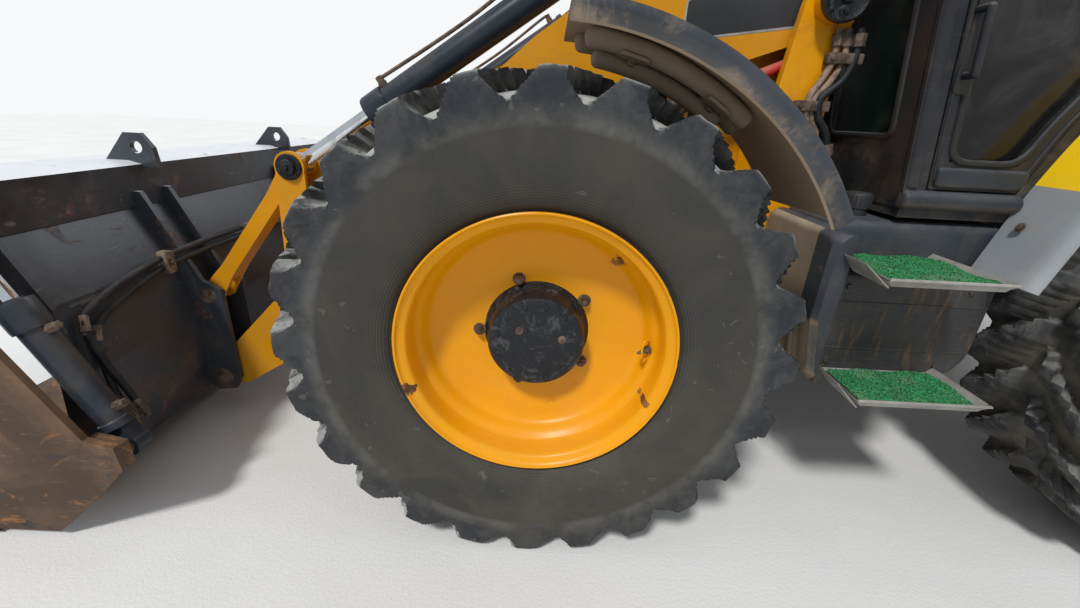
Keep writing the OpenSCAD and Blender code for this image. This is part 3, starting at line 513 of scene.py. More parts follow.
def rusty_metal(name, light=1.0):
    """Bare iron gone brown and grey."""
    f = Finish(name)
    m = f.ramp(f.noise(28, 8, 0.7), 0.38, 0.62)
    base = f.mix(m, tuple(np.array((0.075, 0.05, 0.038)) * light),
                 tuple(np.array((0.235, 0.17, 0.125)) * light))
    f.bump(f.noise(60, 6, 0.7), 0.0016)
    return f.set(Base_Color=base, Metallic=0.35, Roughness=0.66 + m * 0.18)


def chrome(name):
    f = Finish(name)
    streak = f.noise(40, 3, 0.5, 0.0, f.stretched((1, 1, 0.2)))
    base = f.mix(f.ramp(streak, 0.42, 0.66), (0.7, 0.71, 0.73), (0.55, 0.56, 0.58))
    return f.set(Base_Color=base, Metallic=1.0, Roughness=0.13 + f.ramp(streak, 0.4, 0.7) * 0.16)


def tinted_glass(name, alpha=0.42, clear=(0.012, 0.026, 0.022), dusty=(0.075, 0.095, 0.08)):
    """Greenish glass under a film of dust."""
    f = Finish(name)
    film = f.ramp(f.noise(3.5, 8, 0.7, 0.9), 0.42, 0.7)
    base = f.mix(film, clear, dusty)
    f.material.surface_render_method = "BLENDED"
    return f.set(Base_Color=base, Roughness=0.05 + film * 0.25, Alpha=alpha + film * 0.12,
                 Specular_IOR_Level=0.35)


def turf(name):
    """Green bristle mat: two greens by tuft, greyed where it is trodden."""
    f = Finish(name)
    tuft = f.cells(150)
    base = f.mix(f.ramp(tuft, 0.2, 0.8), (0.008, 0.1, 0.03), (0.03, 0.27, 0.085))
    trodden = f.ramp(f.noise(9, 7, 0.7), 0.5, 0.68) * 0.5
    base = f.mix(trodden, base, (0.2, 0.25, 0.17))
    f.bump(tuft, 0.004)
    return f.set(Base_Color=base, Roughness=0.82)


def tray_metal(name):
    """Pale pressed aluminium, dusty and dulled."""
    f = Finish(name)
    m = f.noise(6, 8, 0.7, 0.6)
    base = f.mix(f.ramp(m, 0.36, 0.64), (0.25, 0.235, 0.21), (0.4, 0.385, 0.35))
    f.bump(f.noise(30, 6, 0.7) * 0.5, 0.0014)
    return f.set(Base_Color=base, Metallic=0.35, Roughness=0.62)


def moulded_plastic(name, colour=(0.026, 0.03, 0.035), mud=0.5, tint=(0.2, 0.15, 0.1)):
    """Dark moulded plastic: greyed on top, brown mud beneath and on its lower parts."""
    f = Finish(name)
    fine = f.noise(18, 8, 0.7)
    c = np.array(colour)
    base = f.mix(f.ramp(f.noise(2.6, 6), 0.36, 0.64), tuple(c), tuple(c * 1.7))
    top = f.ramp(f.up(), 0.1, 0.9) * f.ramp(fine, 0.3, 0.6) * 0.42
    base = f.mix(top * 0.6, base, (0.15, 0.155, 0.165))
    under = f.ramp(f.up() * -1, -0.05, 0.45) * mud
    patch = f.ramp(f.noise(3.4, 8, 0.7, 0.9) + under * 0.3, 0.5, 0.66) * mud
    base = f.mix(patch * 0.6 + under * 0.6, base, tint)
    f.bump(fine * 0.4 + patch * 0.6 + f.noise(140, 3) * 0.1, 0.0022)
    return f.set(Base_Color=base, Roughness=0.5 + top * 0.3 + patch * 0.3, Specular_IOR_Level=0.28)


def brushed_side(name):
    """Black sheet brushed by branches: fine level scratches, brown streaks run down, dust in the folds."""
    f = Finish(name)
    base = f.mix(f.ramp(f.noise(2.2, 6), 0.36, 0.64), (0.024, 0.025, 0.027), (0.048, 0.047, 0.045))
    scratches = f.ramp(f.noise(16, 6, 0.65, 0.2, f.stretched((1, 1, 22), (0, 0.12, 0))), 0.54, 0.68)
    base = f.mix(scratches * 0.45, base, (0.125, 0.118, 0.105))
    streaks = f.ramp(f.noise(9, 7, 0.7, 0.3, f.stretched((5, 1, 0.7), (0, 0.35, 0))), 0.5, 0.66)
    brown = streaks * f.ramp(f.noise(2.4, 5, 0.6, 0.4), 0.4, 0.62)
    base = f.mix(brown * 0.75, base, (0.175, 0.105, 0.055))
    f.bump(scratches * 0.4 + f.noise(24, 7, 0.7) * 0.4, 0.0016)
    return f.set(Base_Color=base, Roughness=0.5 + brown * 0.25 + scratches * 0.1, Specular_IOR_Level=0.3)


def hose_rubber(name):
    f = Finish(name)
    wrap = f.noise(160, 2, 0.5)
    dusty = f.ramp(f.noise(12, 7, 0.7) + f.up() * 0.12, 0.46, 0.72)
    base = f.mix(dusty * 0.45, (0.012, 0.013, 0.015), (0.085, 0.078, 0.068))
    f.bump(wrap, 0.0008)
    return f.set(Base_Color=base, Roughness=0.55 + dusty * 0.2, Specular_IOR_Level=0.3)


def lamp_lens(name, colour):
    f = Finish(name)
    ribs = f.node("ShaderNodeTexWave", {"bands_direction": "Y"}, {"Vector": f.place, "Scale": 38.0})
    f.bump(ribs, 0.002)
    base = f.mix(f.ramp(ribs, 0.2, 0.8), tuple(np.array(colour) * 0.7), colour)
    return f.set(Base_Color=base, Roughness=0.12, Coat_Weight=0.6)


def woven(name, colour):
    """Seat cloth: a fine crossed weave."""
    f = Finish(name)
    a = f.node("ShaderNodeTexWave", {"bands_direction": "X"}, {"Vector": f.place, "Scale": 160.0})
    b = f.node("ShaderNodeTexWave", {"bands_direction": "Y"}, {"Vector": f.place, "Scale": 160.0})
    c = np.array(colour)
    base = f.mix(f.ramp(a * b + f.noise(30, 4) * 0.3, 0.2, 0.8), tuple(c * 0.6), tuple(c * 1.3))
    f.bump(a * b, 0.0012)
    return f.set(Base_Color=base, Roughness=0.85, Sheen_Weight=0.25)


def pale_floor(name):
    f = Finish(name)
    base = f.mix(f.ramp(f.noise(0.9, 5), 0.3, 0.7), (0.66, 0.65, 0.63), (0.71, 0.7, 0.68))
    f.bump(f.noise(90, 5, 0.7), 0.002)
    return f.set(Base_Color=base, Roughness=0.85)


def colour_prop(label, text, value):
    return bpy.props.FloatVectorProperty(name=label, description=text, default=value, size=3, min=0, max=1,
                                         subtype="COLOR")


class LoaderColours(bpy.types.PropertyGroup):
    amber: colour_prop("Amber", "Paint of the rims, arms and linkage", (0.78, 0.325, 0.002))
    yellow: colour_prop("Yellow", "Paint of the rear fenders", (0.98, 0.62, 0.006))
    black: colour_prop("Black", "Paint of the chassis and the cab frame", (0.02, 0.022, 0.026))
    blue_black: colour_prop("Blue black", "Paint of the cylinders", (0.022, 0.029, 0.04))
    red: colour_prop("Red", "Paint of the safety struts", (0.5, 0.03, 0.022))


class LoaderSizes(bpy.types.PropertyGroup):
    lug_count: bpy.props.IntProperty(name="Lugs", description="Lugs on one side of a tyre", default=24,
                                     min=18, max=30)
    lug_depth: bpy.props.FloatProperty(name="Lug depth", description="Depth of the tread between the lugs",
                                       default=0.045, min=0.02, max=0.05, unit="LENGTH")
    nut_circle: bpy.props.FloatProperty(name="Nut circle",
                                        description="Diameter of the circle of wheel nuts", default=0.34,
                                        min=0.3, max=0.4, unit="LENGTH")
    hose_radius: bpy.props.FloatProperty(name="Hose radius", description="Radius of a hydraulic hose",
                                         default=0.011, min=0.008, max=0.02, unit="LENGTH")


def sizes():
    return bpy.context.scene.loader_sizes


def colours():
    return bpy.context.scene.loader_colours


class LOADER_OT_finishes(bpy.types.Operator):
    """Makes every finish and gives the CAD nodes theirs"""

    bl_idname = "loader.finishes"
    bl_label = "Finishes"

    def execute(self, context):
        c = colours()
        F = FINISHES
        # The arms, levers, links, hood, boom and dipper take the rims' amber at 0.8: a darker copy of the
        # same paint, painted shade.
        F["amber"] = worn_paint("amber paint", tuple(c.amber * 0.8), dust=0.24, rust=0.2, gloss=0.33,
                                low_dirt=0.16, scratch=0.3, dust_colour=(0.3, 0.19, 0.08))
        F["rim"] = worn_paint("rim paint", tuple(c.amber), dust=0.1, rust=0.1, gloss=0.3,
                              scratch=0.12, shade=0.08)
        F["oily"] = worn_paint("greasy amber paint", tuple(c.amber), dust=0.72, rust=0.34, gloss=0.3,
                               low_dirt=0.25, scratch=0.4, dust_colour=(0.075, 0.048, 0.025))
        F["yellow"] = worn_paint("yellow paint", tuple(c.yellow), dust=0.12, rust=0.04, gloss=0.24,
                                 scratch=0.1, shade=0.05)
        F["black"] = worn_paint("black paint", tuple(c.black), dust=0.55, rust=0.2, gloss=0.42,
                                low_dirt=0.55, scratch=0.35)
        F["blue"] = worn_paint("cylinder paint", tuple(c.blue_black), dust=0.18, rust=0.14,
                               gloss=0.3, scratch=0.4)
        F["red"] = worn_paint("red paint", tuple(c.red), dust=0.45, rust=0.25, gloss=0.45, scratch=0.4)
        F["steel"] = scuffed_steel("bucket steel")
        # The digger's bucket takes the same steel with no painted reflection.
        F["steel_without_painted_reflection"] = scuffed_steel("digger bucket steel", 0.0)
        F["plate"] = side_plate_steel("side plate steel")
        F["rubber"] = tyre_rubber("tyre rubber")
        F["hub"] = hub_black("hub black")
        F["rusty"] = rusty_metal("rusty iron")
        F["iron"] = rusty_metal("grey iron", 0.8)
        F["chrome"] = chrome("rod chrome")
        F["glass"] = tinted_glass("cab glass")
        F["door_glass"] = tinted_glass("door glass", 0.88, (0.01, 0.009, 0.009), (0.03, 0.029, 0.028))
        F["turf"] = turf("green turf")
        F["tray"] = tray_metal("tray metal")
        F["pipes"] = rusty_metal("steel pipes", 1.5)
        F["plastic"] = moulded_plastic("moulded plastic", mud=0.3)
        F["fender"] = moulded_plastic("fender plastic", mud=0.9, tint=(0.3, 0.225, 0.155))
        F["brushed"] = brushed_side("tank sides")
        F["muddy"] = moulded_plastic("muddy plastic", mud=0.95)
        F["caked"] = worn_paint("caked mud", (0.23, 0.185, 0.13), dust=0.5, rust=0.0, gloss=0.75,
                                shade=0.45, scratch=0.2, dust_colour=(0.36, 0.31, 0.24), shine=0.1)
        F["tubes"] = worn_paint("fender tubes", (0.23, 0.175, 0.125), dust=0.7, rust=0.2, gloss=0.65,
                                dust_colour=(0.36, 0.28, 0.2))
        F["gasket"] = moulded_plastic("gasket rubber", (0.018, 0.018, 0.019), 0.15)
        F["grey"] = worn_paint("grey fender", (0.27, 0.285, 0.3), dust=0.3, rust=0.0, gloss=0.36,
                               scratch=0.3, dust_colour=(0.4, 0.38, 0.34))
        F["plain_plate"] = moulded_plastic("plain plate", (0.022, 0.023, 0.026), 0.1)
        F["hose"] = hose_rubber("hose rubber")
        F["lens"] = lamp_lens("clear lens", (0.75, 0.76, 0.74))
        F["amber_lens"] = lamp_lens("amber lens", (0.8, 0.3, 0.02))
        F["red_lens"] = lamp_lens("red lens", (0.55, 0.02, 0.015))
        F["cloth"] = woven("seat cloth", (0.055, 0.055, 0.06))
        F["trim"] = moulded_plastic("cab trim", (0.035, 0.036, 0.04), 0.1)
        F["roof"] = moulded_plastic("roof plastic", (0.52, 0.3, 0.02), 0.12)
        worn = {
            "amber": "arms levers links hood boom dipper hoe_lever hoe_link",
            "oily": "towers",
            "yellow": "rear_fenders",
            "blue": "lift_barrels tip_barrels clam_barrels boom_barrel dipper_barrel hoe_barrel",
            "black": "chassis cab door_left door_right carriage kingpost leg_left leg_right",
            "iron": "engine axles exhaust knuckle_rl knuckle_rr",
            "fender": "knuckle_fl knuckle_fr",
            "red": "struts",
            "steel": "bucket",
            "steel_without_painted_reflection": "hoe_bucket",
            "plate": "jaw",
            "chrome": "lift_rods tip_rods clam_rods boom_rod dipper_rod hoe_rod",
            "glass": "glass",
            "door_glass": "door_left_glass door_right_glass",
            "trim": "interior",
            "roof": "roof",
            "tray": "steps",
            "turf": "step_mats",
            "muddy": "tanks",
            "lens": "lamps",
            "rim": "wheel_fl wheel_fr wheel_rl wheel_rr",
            "rubber": "tyre_fl tyre_fr tyre_rl tyre_rr",
        }
        for key, names in worn.items():
            for name in names.split():
                slots = NODES[name].data.materials
                slots.clear()
                slots.append(F[key])
        return {"FINISHED"}


# Wheels


# Half a tyre's section from the bead to the middle: carcass radius and place, lug radius and place
TYRE_ROWS = [[0.36, 0.15, 0.36, 0.15], [0.372, 0.166, 0.372, 0.166], [0.385, 0.17, 0.385, 0.17],
             [0.396, 0.181, 0.396, 0.181], [0.415, 0.197, 0.415, 0.197], [0.45, 0.209, 0.45, 0.209],
             [0.5, 0.216, 0.5, 0.216], [0.55, 0.2172, 0.55, 0.2172], [0.585, 0.2165, 0.585, 0.2175],
             [0.608, 0.213, 0.612, 0.218], [0.627, 0.205, 0.635, 0.2182], [0.64, 0.193, 0.656, 0.2178],
             [0.649, 0.177, 0.674, 0.2165], [0.6545, 0.156, 0.689, 0.2115], [0.6585, 0.13, 0.6965, 0.198],
             [0.661, 0.095, 0.6985, 0.15], [0.663, 0.05, 0.6994, 0.08], [0.664, 0.0, 0.6994, 0.0]]
LUG_HEIGHT = 0.0354
STEPS_PER_LUG = 24
# Half the tread's width, and how far the lugs lean over it in radians
TREAD_REACH, LUG_LEAN = 0.205, 0.245
# Half a lug's width in the middle, how much wider it is at the shoulder and how soon, and its edge's width
LUG_HALF_WIDTH, SHOULDER_FLARE, FLARE_POWER, LUG_EDGE = 0.037, 0.064, 1.45, 0.013
TOP_WEAR = 0.0025
# Ridges on the sidewall: radius and height
WALL_RIDGES = ((0.402, 0.0016), (0.433, 0.0012))


def tyre_grid(x, side):
    """P = carcass + mask (lug line - carcass), turned about the axle; the mask is 1 on leaning lugs, which
    stand staggered by half a pitch on the two sides."""
    s = sizes()
    count = s.lug_count
    rows = np.array(TYRE_ROWS)
    rows[:, :2] = rows[:, 2:] + (rows[:, :2] - rows[:, 2:]) * s.lug_depth / LUG_HEIGHT
    half = smooth_path(rows, 2)
    rr, yy, lr, ly = np.vstack([half, (half * [1, -1, 1, -1])[-2::-1]]).T
    lr = np.minimum(lr, TYRE_R - 0.0005)
    turn = ring(count * STEPS_PER_LUG)[:, None]
    pitch = 2 * np.pi / count
    mid = (yy + ly) / 2
    reach = np.clip(np.abs(mid) / TREAD_REACH, 0, 1)[None, :]
    lean = LUG_LEAN * (1 - reach) ** 1.25 + 0.02 * np.sin(reach * 6)
    stagger = np.where(mid >= 0, 0.0, 0.5)[None, :] * pitch
    off = (turn - lean - stagger + pitch / 2) % pitch - pitch / 2
    flare = np.clip((0.694 - lr) / 0.075, 0, 1)[None, :] ** FLARE_POWER
    wide = (LUG_HALF_WIDTH + 0.004 * (1 - reach) + SHOULDER_FLARE * flare
            + 0.0025 * np.sin(turn * 31 + 5 * mid))
    mask = 1 - np.clip((np.abs(off) * TYRE_R - wide + 0.006) / LUG_EDGE, 0, 1)
    mask = mask * mask * (3 - 2 * mask) * np.clip(np.abs(mid) / 0.012, 0.0, 1)[None, :]
    worn = TOP_WEAR * np.clip(np.sin(turn * 57 + yy * 40) * np.sin(turn * 23 + 1.3), 0, 1)
    R = rr + (lr - rr - worn * (lr > 0.66)) * mask
    Y = yy + (ly - yy) * mask
    for c, h in WALL_RIDGES:
        Y = Y + np.sign(yy) * h * np.exp(-((rr - c) / 0.006) ** 2)
    P = np.stack([x + R * np.cos(turn), side * (WHEEL_Y + Y), AXLE_Z + R * np.sin(turn)], -1)
    wall = np.broadcast_to(np.clip((0.592 - rr) / 0.02, 0, 1), mask.shape)
    lug = mask * np.clip((lr - 0.57) / 0.06, 0, 1)
    return P, {"lug": lug, "wall": wall, "top": lug * np.clip((lr - 0.688) / 0.008, 0, 1), "radius": R}


class LOADER_OT_tyres(bpy.types.Operator):
    """Tyres with leaning lugs, scalloped shoulders and worn tops"""

    bl_idname = "loader.tyres"
    bl_label = "Tyres"

    def execute(self, context):
        for key, (x, side, words) in WHEELS.items():
            P, marks = tyre_grid(x, side)
            skin = Skin().grid(P, wrap_u=True, flip=side > 0, pale=0.25 if key[0] == "r" else 1.0, **marks)
            bead = np.stack([P[:, 0], P[:, -1]], 1)
            skin.grid(bead, wrap_u=True, flip=side < 0, lug=0, wall=0, top=0, radius=0, pale=0)
            skin.piece(f"tyre_{words}", "roll_" + key, "rubber", "tyre_rubber", ["tyre_" + key], crease=48)
        return {"FINISHED"}


RIM_OUTER = [[0.19, 0.3825], [0.1915, 0.38], [0.19, 0.3765], [0.184, 0.3745], [0.178, 0.3665],
             [0.174, 0.356], [0.169, 0.3515], [0.16, 0.349], [0.135, 0.348], [0.106, 0.347], [0.1, 0.344],
             [0.094, 0.337], [0.086, 0.33], [0.076, 0.324], [0.066, 0.32], [0.058, 0.315], [0.05, 0.306],
             [0.0465, 0.294], [0.044, 0.278], [0.04, 0.244], [0.036, 0.21], [0.0315, 0.18], [0.03, 0.152]]
RIM_INNER = [[0.014, 0.15], [0.029, 0.285], [0.016, 0.315], [-0.06, 0.319], [-0.085, 0.345],
             [-0.156, 0.349], [-0.174, 0.356], [-0.184, 0.3745], [-0.19, 0.3765], [-0.19, 0.3825]]
RIM_BACK = [[-0.19, 0.3825], [-0.176, 0.382], [-0.169, 0.364], [-0.16, 0.357], [-0.1, 0.356],
            [-0.066, 0.33], [0.066, 0.33], [0.1, 0.356], [0.16, 0.357], [0.169, 0.364],
            [0.176, 0.382], [0.19, 0.3825]]
HUB = [[0.02, 0.196], [0.024, 0.193], [0.026, 0.16], [0.034, 0.15], [0.046, 0.142], [0.06, 0.139],
       [0.104, 0.138], [0.114, 0.133], [0.119, 0.123], [0.121, 0.105], [0.1235, 0.07], [0.1245, 0.0001]]
NUT_ANGLES = np.radians(-1.5 + 72 * np.arange(5))
NUT_SEAT = 0.0315
HUB_BOLTS, HUB_BOLT_CIRCLE_R, HUB_BOLT_SEAT = 12, 0.112, 0.1195
PLUG_SEAT = 0.1225
VALVE_DEGREES, VALVE_R, VALVE_SEAT = 183, 0.325, 0.09
# Chips in the rim's paint: degrees round the wheel, radius and size
RIM_CHIPS = ((132, 0.312, 0.027), (340, 0.372, 0.026), (205, 0.352, 0.014))


class LOADER_OT_rims(bpy.types.Operator):
    """Dished rims, planetary hubs, nuts and valves"""

    bl_idname = "loader.rims"
    bl_label = "Rims"

    def execute(self, context):
        for key, (x, side, words) in WHEELS.items():
            axis, at = [0, side, 0], [x, side * WHEEL_Y, AXLE_Z]
            skin = Skin()
            outer = lathe(RIM_OUTER, at, axis, 180)
            wear = np.zeros(outer.shape[:2])
            for degrees, r, size in RIM_CHIPS:
                t = np.radians(degrees)
                spot = np.array(at)[[0, 2]] + r * np.array([np.cos(t), np.sin(t)])
                wear += np.exp(-np.sum((outer[..., [0, 2]] - spot) ** 2, -1) / size ** 2)
            skin.grid(outer, wrap_u=True, wear=wear)
            skin.turned(RIM_INNER + RIM_BACK[1:], at, axis, 96)
            skin.turned(HUB[:3], at, axis, 64, slot=2)
            skin.turned(HUB[2:], at, axis, 64, slot=1)
            skin.turned([[0.014, 0.15], [0.0, 0.13], [-0.03, 0.12], [-0.03, 0.0625]], at, axis, 48, slot=2)
            radius = sizes().nut_circle / 2
            for a in NUT_ANGLES:
                p = np.array(at) + [radius * np.cos(a), side * NUT_SEAT, radius * np.sin(a)]
                bolt(skin, p, axis, 0.0145, slot=3, washer=1.3, height=1.0)
                skin.turned([[0.015, 0.0085], [0.024, 0.0082], [0.026, 0.0068], [0.026, 1e-4]], p,
                            axis, 16, slot=3)
            for a in np.radians(np.arange(HUB_BOLTS) * 360 / HUB_BOLTS + 12):
                p = np.array(at) + [HUB_BOLT_CIRCLE_R * np.cos(a), side * HUB_BOLT_SEAT,
                                    HUB_BOLT_CIRCLE_R * np.sin(a)]
                bolt(skin, p, axis, 0.0075, slot=1, washer=1.2, height=0.6)
            for a, d in ((0.7, 0.062), (2.9, 0.075)):
                p = np.array(at) + [d * np.cos(a), side * PLUG_SEAT, d * np.sin(a)]
                skin.turned([[0, 0.012], [0.005, 0.0115], [0.0065, 0.0085], [0.0065, 1e-4]], p,
                            axis, 20, slot=3)
            # The valve stands in a dark slot of the well, with its bent guard
            a = np.radians(VALVE_DEGREES)
            out = np.array([np.cos(a), 0, np.sin(a)])
            v = np.array(at) + out * VALVE_R + [0, side * VALVE_SEAT, 0]
            skin.turned([[0, 0.013], [0.004, 0.0125], [0.005, 0.007], [0.03, 0.0062], [0.032, 0.0048],
                         [0.044, 0.0046], [0.046, 1e-4]], v,
                        -out + np.array([0, side * 0.8, 0]), 16, slot=3)
            guard = smooth_path([v + [0, 0, 0.03], v - out * 0.02 + [0, side * 0.02, 0.028],
                                 v - out * 0.02 + [0, side * 0.02, -0.028], v + [0, 0, -0.03]], 6)
            skin.closed(hose(guard, 0.0035, 8))
            skin.piece(f"rim_{words}", "roll_" + key, "rim hub rusty iron", "yellow_paint",
                       ["wheel_" + key], crease=35, weld=True)
        return {"FINISHED"}


# Bucket and linkage


# Places along the two hoses from a clam cylinder to the bucket's middle: x, y, z
BUCKET_RUNS = (((1.248, 1.02, 0.352), (1.302, 1.002, 0.425), (1.356, 0.996, 0.54), (1.376, 0.988, 0.64),
                (1.378, 0.93, 0.684), (1.374, 0.8, 0.722), (1.37, 0.643, 0.746), (1.372, 0.47, 0.752),
                (1.372, 0.3, 0.752), (1.376, 0.14, 0.75)),
               ((1.266, 1.042, 0.34), (1.32, 1.018, 0.408), (1.364, 0.982, 0.5), (1.38, 0.956, 0.592),
                (1.379, 0.9, 0.64), (1.374, 0.78, 0.682), (1.37, 0.643, 0.712), (1.372, 0.47, 0.718),
                (1.372, 0.3, 0.718), (1.376, 0.14, 0.716)))


class LOADER_OT_bucket(bpy.types.Operator):
    """Hoses across the bucket's back, their clamps and fittings, bolts and pin heads"""

    bl_idname = "loader.bucket"
    bl_label = "Bucket fittings"

    def execute(self, context):
        r = sizes().hose_radius
        runs = Skin()
        for side in (1, -1):
            for rows in BUCKET_RUNS:
                path = smooth_path([here(x, side * y, z) for x, y, z in rows], 10)
                runs.closed(hose(path, r, 14))
                for i, j in ((0, 3), (28, 31), (90, 86)):
                    runs.turned([[-0.022, 1e-4], [-0.022, 0.009], [-0.01, 0.009], [-0.01, 0.015],
                                 [0.006, 0.015], [0.008, 0.0128], [0.038, 0.0128], [0.04, r]], path[i],
                                path[j] - path[i], 6, slot=1)
            clamp = here(1.364, side * 0.643, 0.716)

            def behind(a, b, h, clamp=clamp):
                return np.stack([clamp[0] + h, clamp[1] + a, clamp[2] + b], -1)

            block = rectangle(-0.02, -0.03, 0.02, 0.052, 0.008)
            runs.closed(slab(block, -0.016, 0.02, 0.003, behind), slot=1)
            bolt(runs, clamp + np.array([-0.016, 0, 0.011]), [-1, 0, 0], 0.009, slot=1)
        runs.piece("bucket_hoses", "bucket_body", "hose rusty", "black_paint")
        heads = Skin()
        for side in (1, -1):
            for p, rad in ((here(1.33, 0, 0.19), 0.03), (here(1.32, 0, 0.56), 0.028)):
                for e in (1, -1):
                    at = p + [0, side * (0.47 + e * 0.0725), 0]
                    heads.turned([[0, rad * 1.2], [0.006, rad * 1.2], [0.008, rad * 1.1], [0.008, 1e-4]],
                                 at, [0, side * e, 0], 24)
        heads.piece("bucket_pin_heads", "bucket_body", "iron", "black_paint", weld=True)
        return {"FINISHED"}


class LOADER_OT_linkage(bpy.types.Operator):
    """Pin caps with their bolts on the arms, levers and links"""

    bl_idname = "loader.linkage"
    bl_label = "Linkage pins"

    def execute(self, context):
        caps = Skin()
        for side in (1, -1):
            for p in (here(0.915, side * 0.544, 1.075), here(0.925, side * 0.544, 0.705)):
                caps.turned([[0, 0.046], [0.007, 0.046], [0.01, 0.043], [0.01, 0.03], [0.024, 0.028],
                             [0.026, 0.024], [0.026, 1e-4]], p, [0, side, 0], 32)
                bolt(caps, p + np.array([0, side * 0.025, 0]), [0, side, 0], 0.013, washer=1.2)
        caps.piece("lever_pin_caps", "levers_body", "hub", "black_paint", weld=True)
        pivots = Skin()
        for side in (1, -1):
            p = here(-0.87, side * 0.6, 1.66)
            pivots.turned([[-0.002, 0.066], [0.01, 0.07], [0.026, 0.07], [0.03, 0.064], [0.024, 0.052],
                           [0.022, 0.02], [0.03, 0.016], [0.03, 1e-4]], p, [0, side, 0], 48)
            for a in ring(3, 0.4):
                bolt(pivots, p + np.array([0.038 * np.cos(a), side * 0.023, 0.038 * np.sin(a)]),
                     [0, side, 0], 0.009)
        pivots.piece("arm_pivot_caps", "frame", "hub", "black_paint", weld=True)
        strut = Skin()
        for side in (1, -1):
            strut.turned([[0, 0.026], [0.012, 0.034], [0.02, 0.034], [0.024, 0.028], [0.024, 1e-4]],
                         here(-0.8, side * 0.5, 1.492), [-0.92, 0, 0.39], 28)
        strut.piece("strut_caps", "loader", "gasket", "black_paint", weld=True)
        return {"FINISHED"}


# Steps and tanks


# Thickness of the trays' sheet, tufts along and across a mat, and the seed of their heights
SHEET = 0.0045
TUFTS = (150, 96)
TURF_SEED = 7
# How far a tuft stands off its row, and the mat's backing above the tray
TUFT_SHIFT, MAT_BASE = 0.0018, 0.008


class LOADER_OT_steps(bpy.types.Operator):
    """Pressed trays with turned-up ends and bristly green mats"""

    bl_idname = "loader.steps"
    bl_label = "Steps"

    def execute(self, context):
        trays, mats = Skin(), Skin()
        for x0, x1, y0, y1, z in ((-1.205, -0.872, 0.856, 1.149, 0.931),
                                  (-1.279, -0.902, 0.931, 1.149, 0.576)):
            u = np.array([0, 0.0, 0.055, 0.075, 0.5, 0.925, 0.945, 1.0, 1.0])
            lift = np.array([0.022, 0.024, 0.004, 0.0, 0.0, 0.0, 0.004, 0.024, 0.022])
            v = np.array([0, 0.06, 0.08, 0.5, 0.93, 0.955, 0.985, 1.0])
            edge = np.array([0.006, 0.001, 0.0, 0.0, 0.0, 0.012, 0.022, 0.024])
            X = x0 + (x1 - x0) * u[:, None]
            Y = y0 + (y1 - y0) * v[None, :]
            Z = z + np.maximum(lift[:, None], edge[None, :])
            top = field(X + FRONT_X, Y, Z)
            low = field(X + FRONT_X, Y, np.where(Z > z + 0.005, Z - SHEET, z - 0.001))
            trays.grid(top)
            trays.grid(low, flip=True)
            trays.rims(top, low)
            lip = [here(x0 + 0.002, y1 - 0.004, z + 0.022), here(x1 - 0.002, y1 - 0.004, z + 0.022)]
            trays.closed(hose(np.linspace(lip[0], lip[1], 8), 0.0038, 8))
            a, b = np.linspace(0, 1, 6)[:, None], np.linspace(0, 1, 5)[None, :]
            top = field(FRONT_X + x1 - 0.002 + 0.036 * a, 1.003 + (0.145 - 0.05 * a) * b,
                        z + 0.003 + 0.044 * a)
            low = top - [0, 0, 0.004]
            trays.grid(top)
            trays.grid(low, flip=True)
            trays.rims(top, low)
            nu, nv = TUFTS
            rng = np.random.default_rng(TURF_SEED)
            gx = np.linspace(x0 + 0.026, x1 - 0.026, nu)[:, None] + FRONT_X
            gy = np.linspace(y0 + 0.022, y1 - 0.018, nv)[None, :]
            pile = 0.0035 + 0.0125 * rng.random((nu, nv)) ** 0.7
            pile *= 0.75 + 0.25 * np.sin(gx * 41) * np.sin(gy * 37 + 1)
            pile[[0, -1], :] = 0
            pile[:, [0, -1]] = 0
            shift_x, shift_y = (rng.random((2, nu, nv)) - 0.5) * TUFT_SHIFT
            mats.grid(field(gx + shift_x, gy + shift_y, z + MAT_BASE + pile))
        trays.mirrored().piece("step_trays", "frame", "tray", "step_metal", ["steps"], crease=30, weld=True)
        mats.mirrored().piece("step_turf", "frame", "turf", "turf", ["step_mats"], crease=180)
        return {"FINISHED"}


def edge_drop(s, depth, over):
    """A rounding of this depth at both ends of s = 0..1, each over this share of it."""
    return depth * (1 - np.clip(np.minimum(s, 1 - s) / over, 0, 1)) ** 2


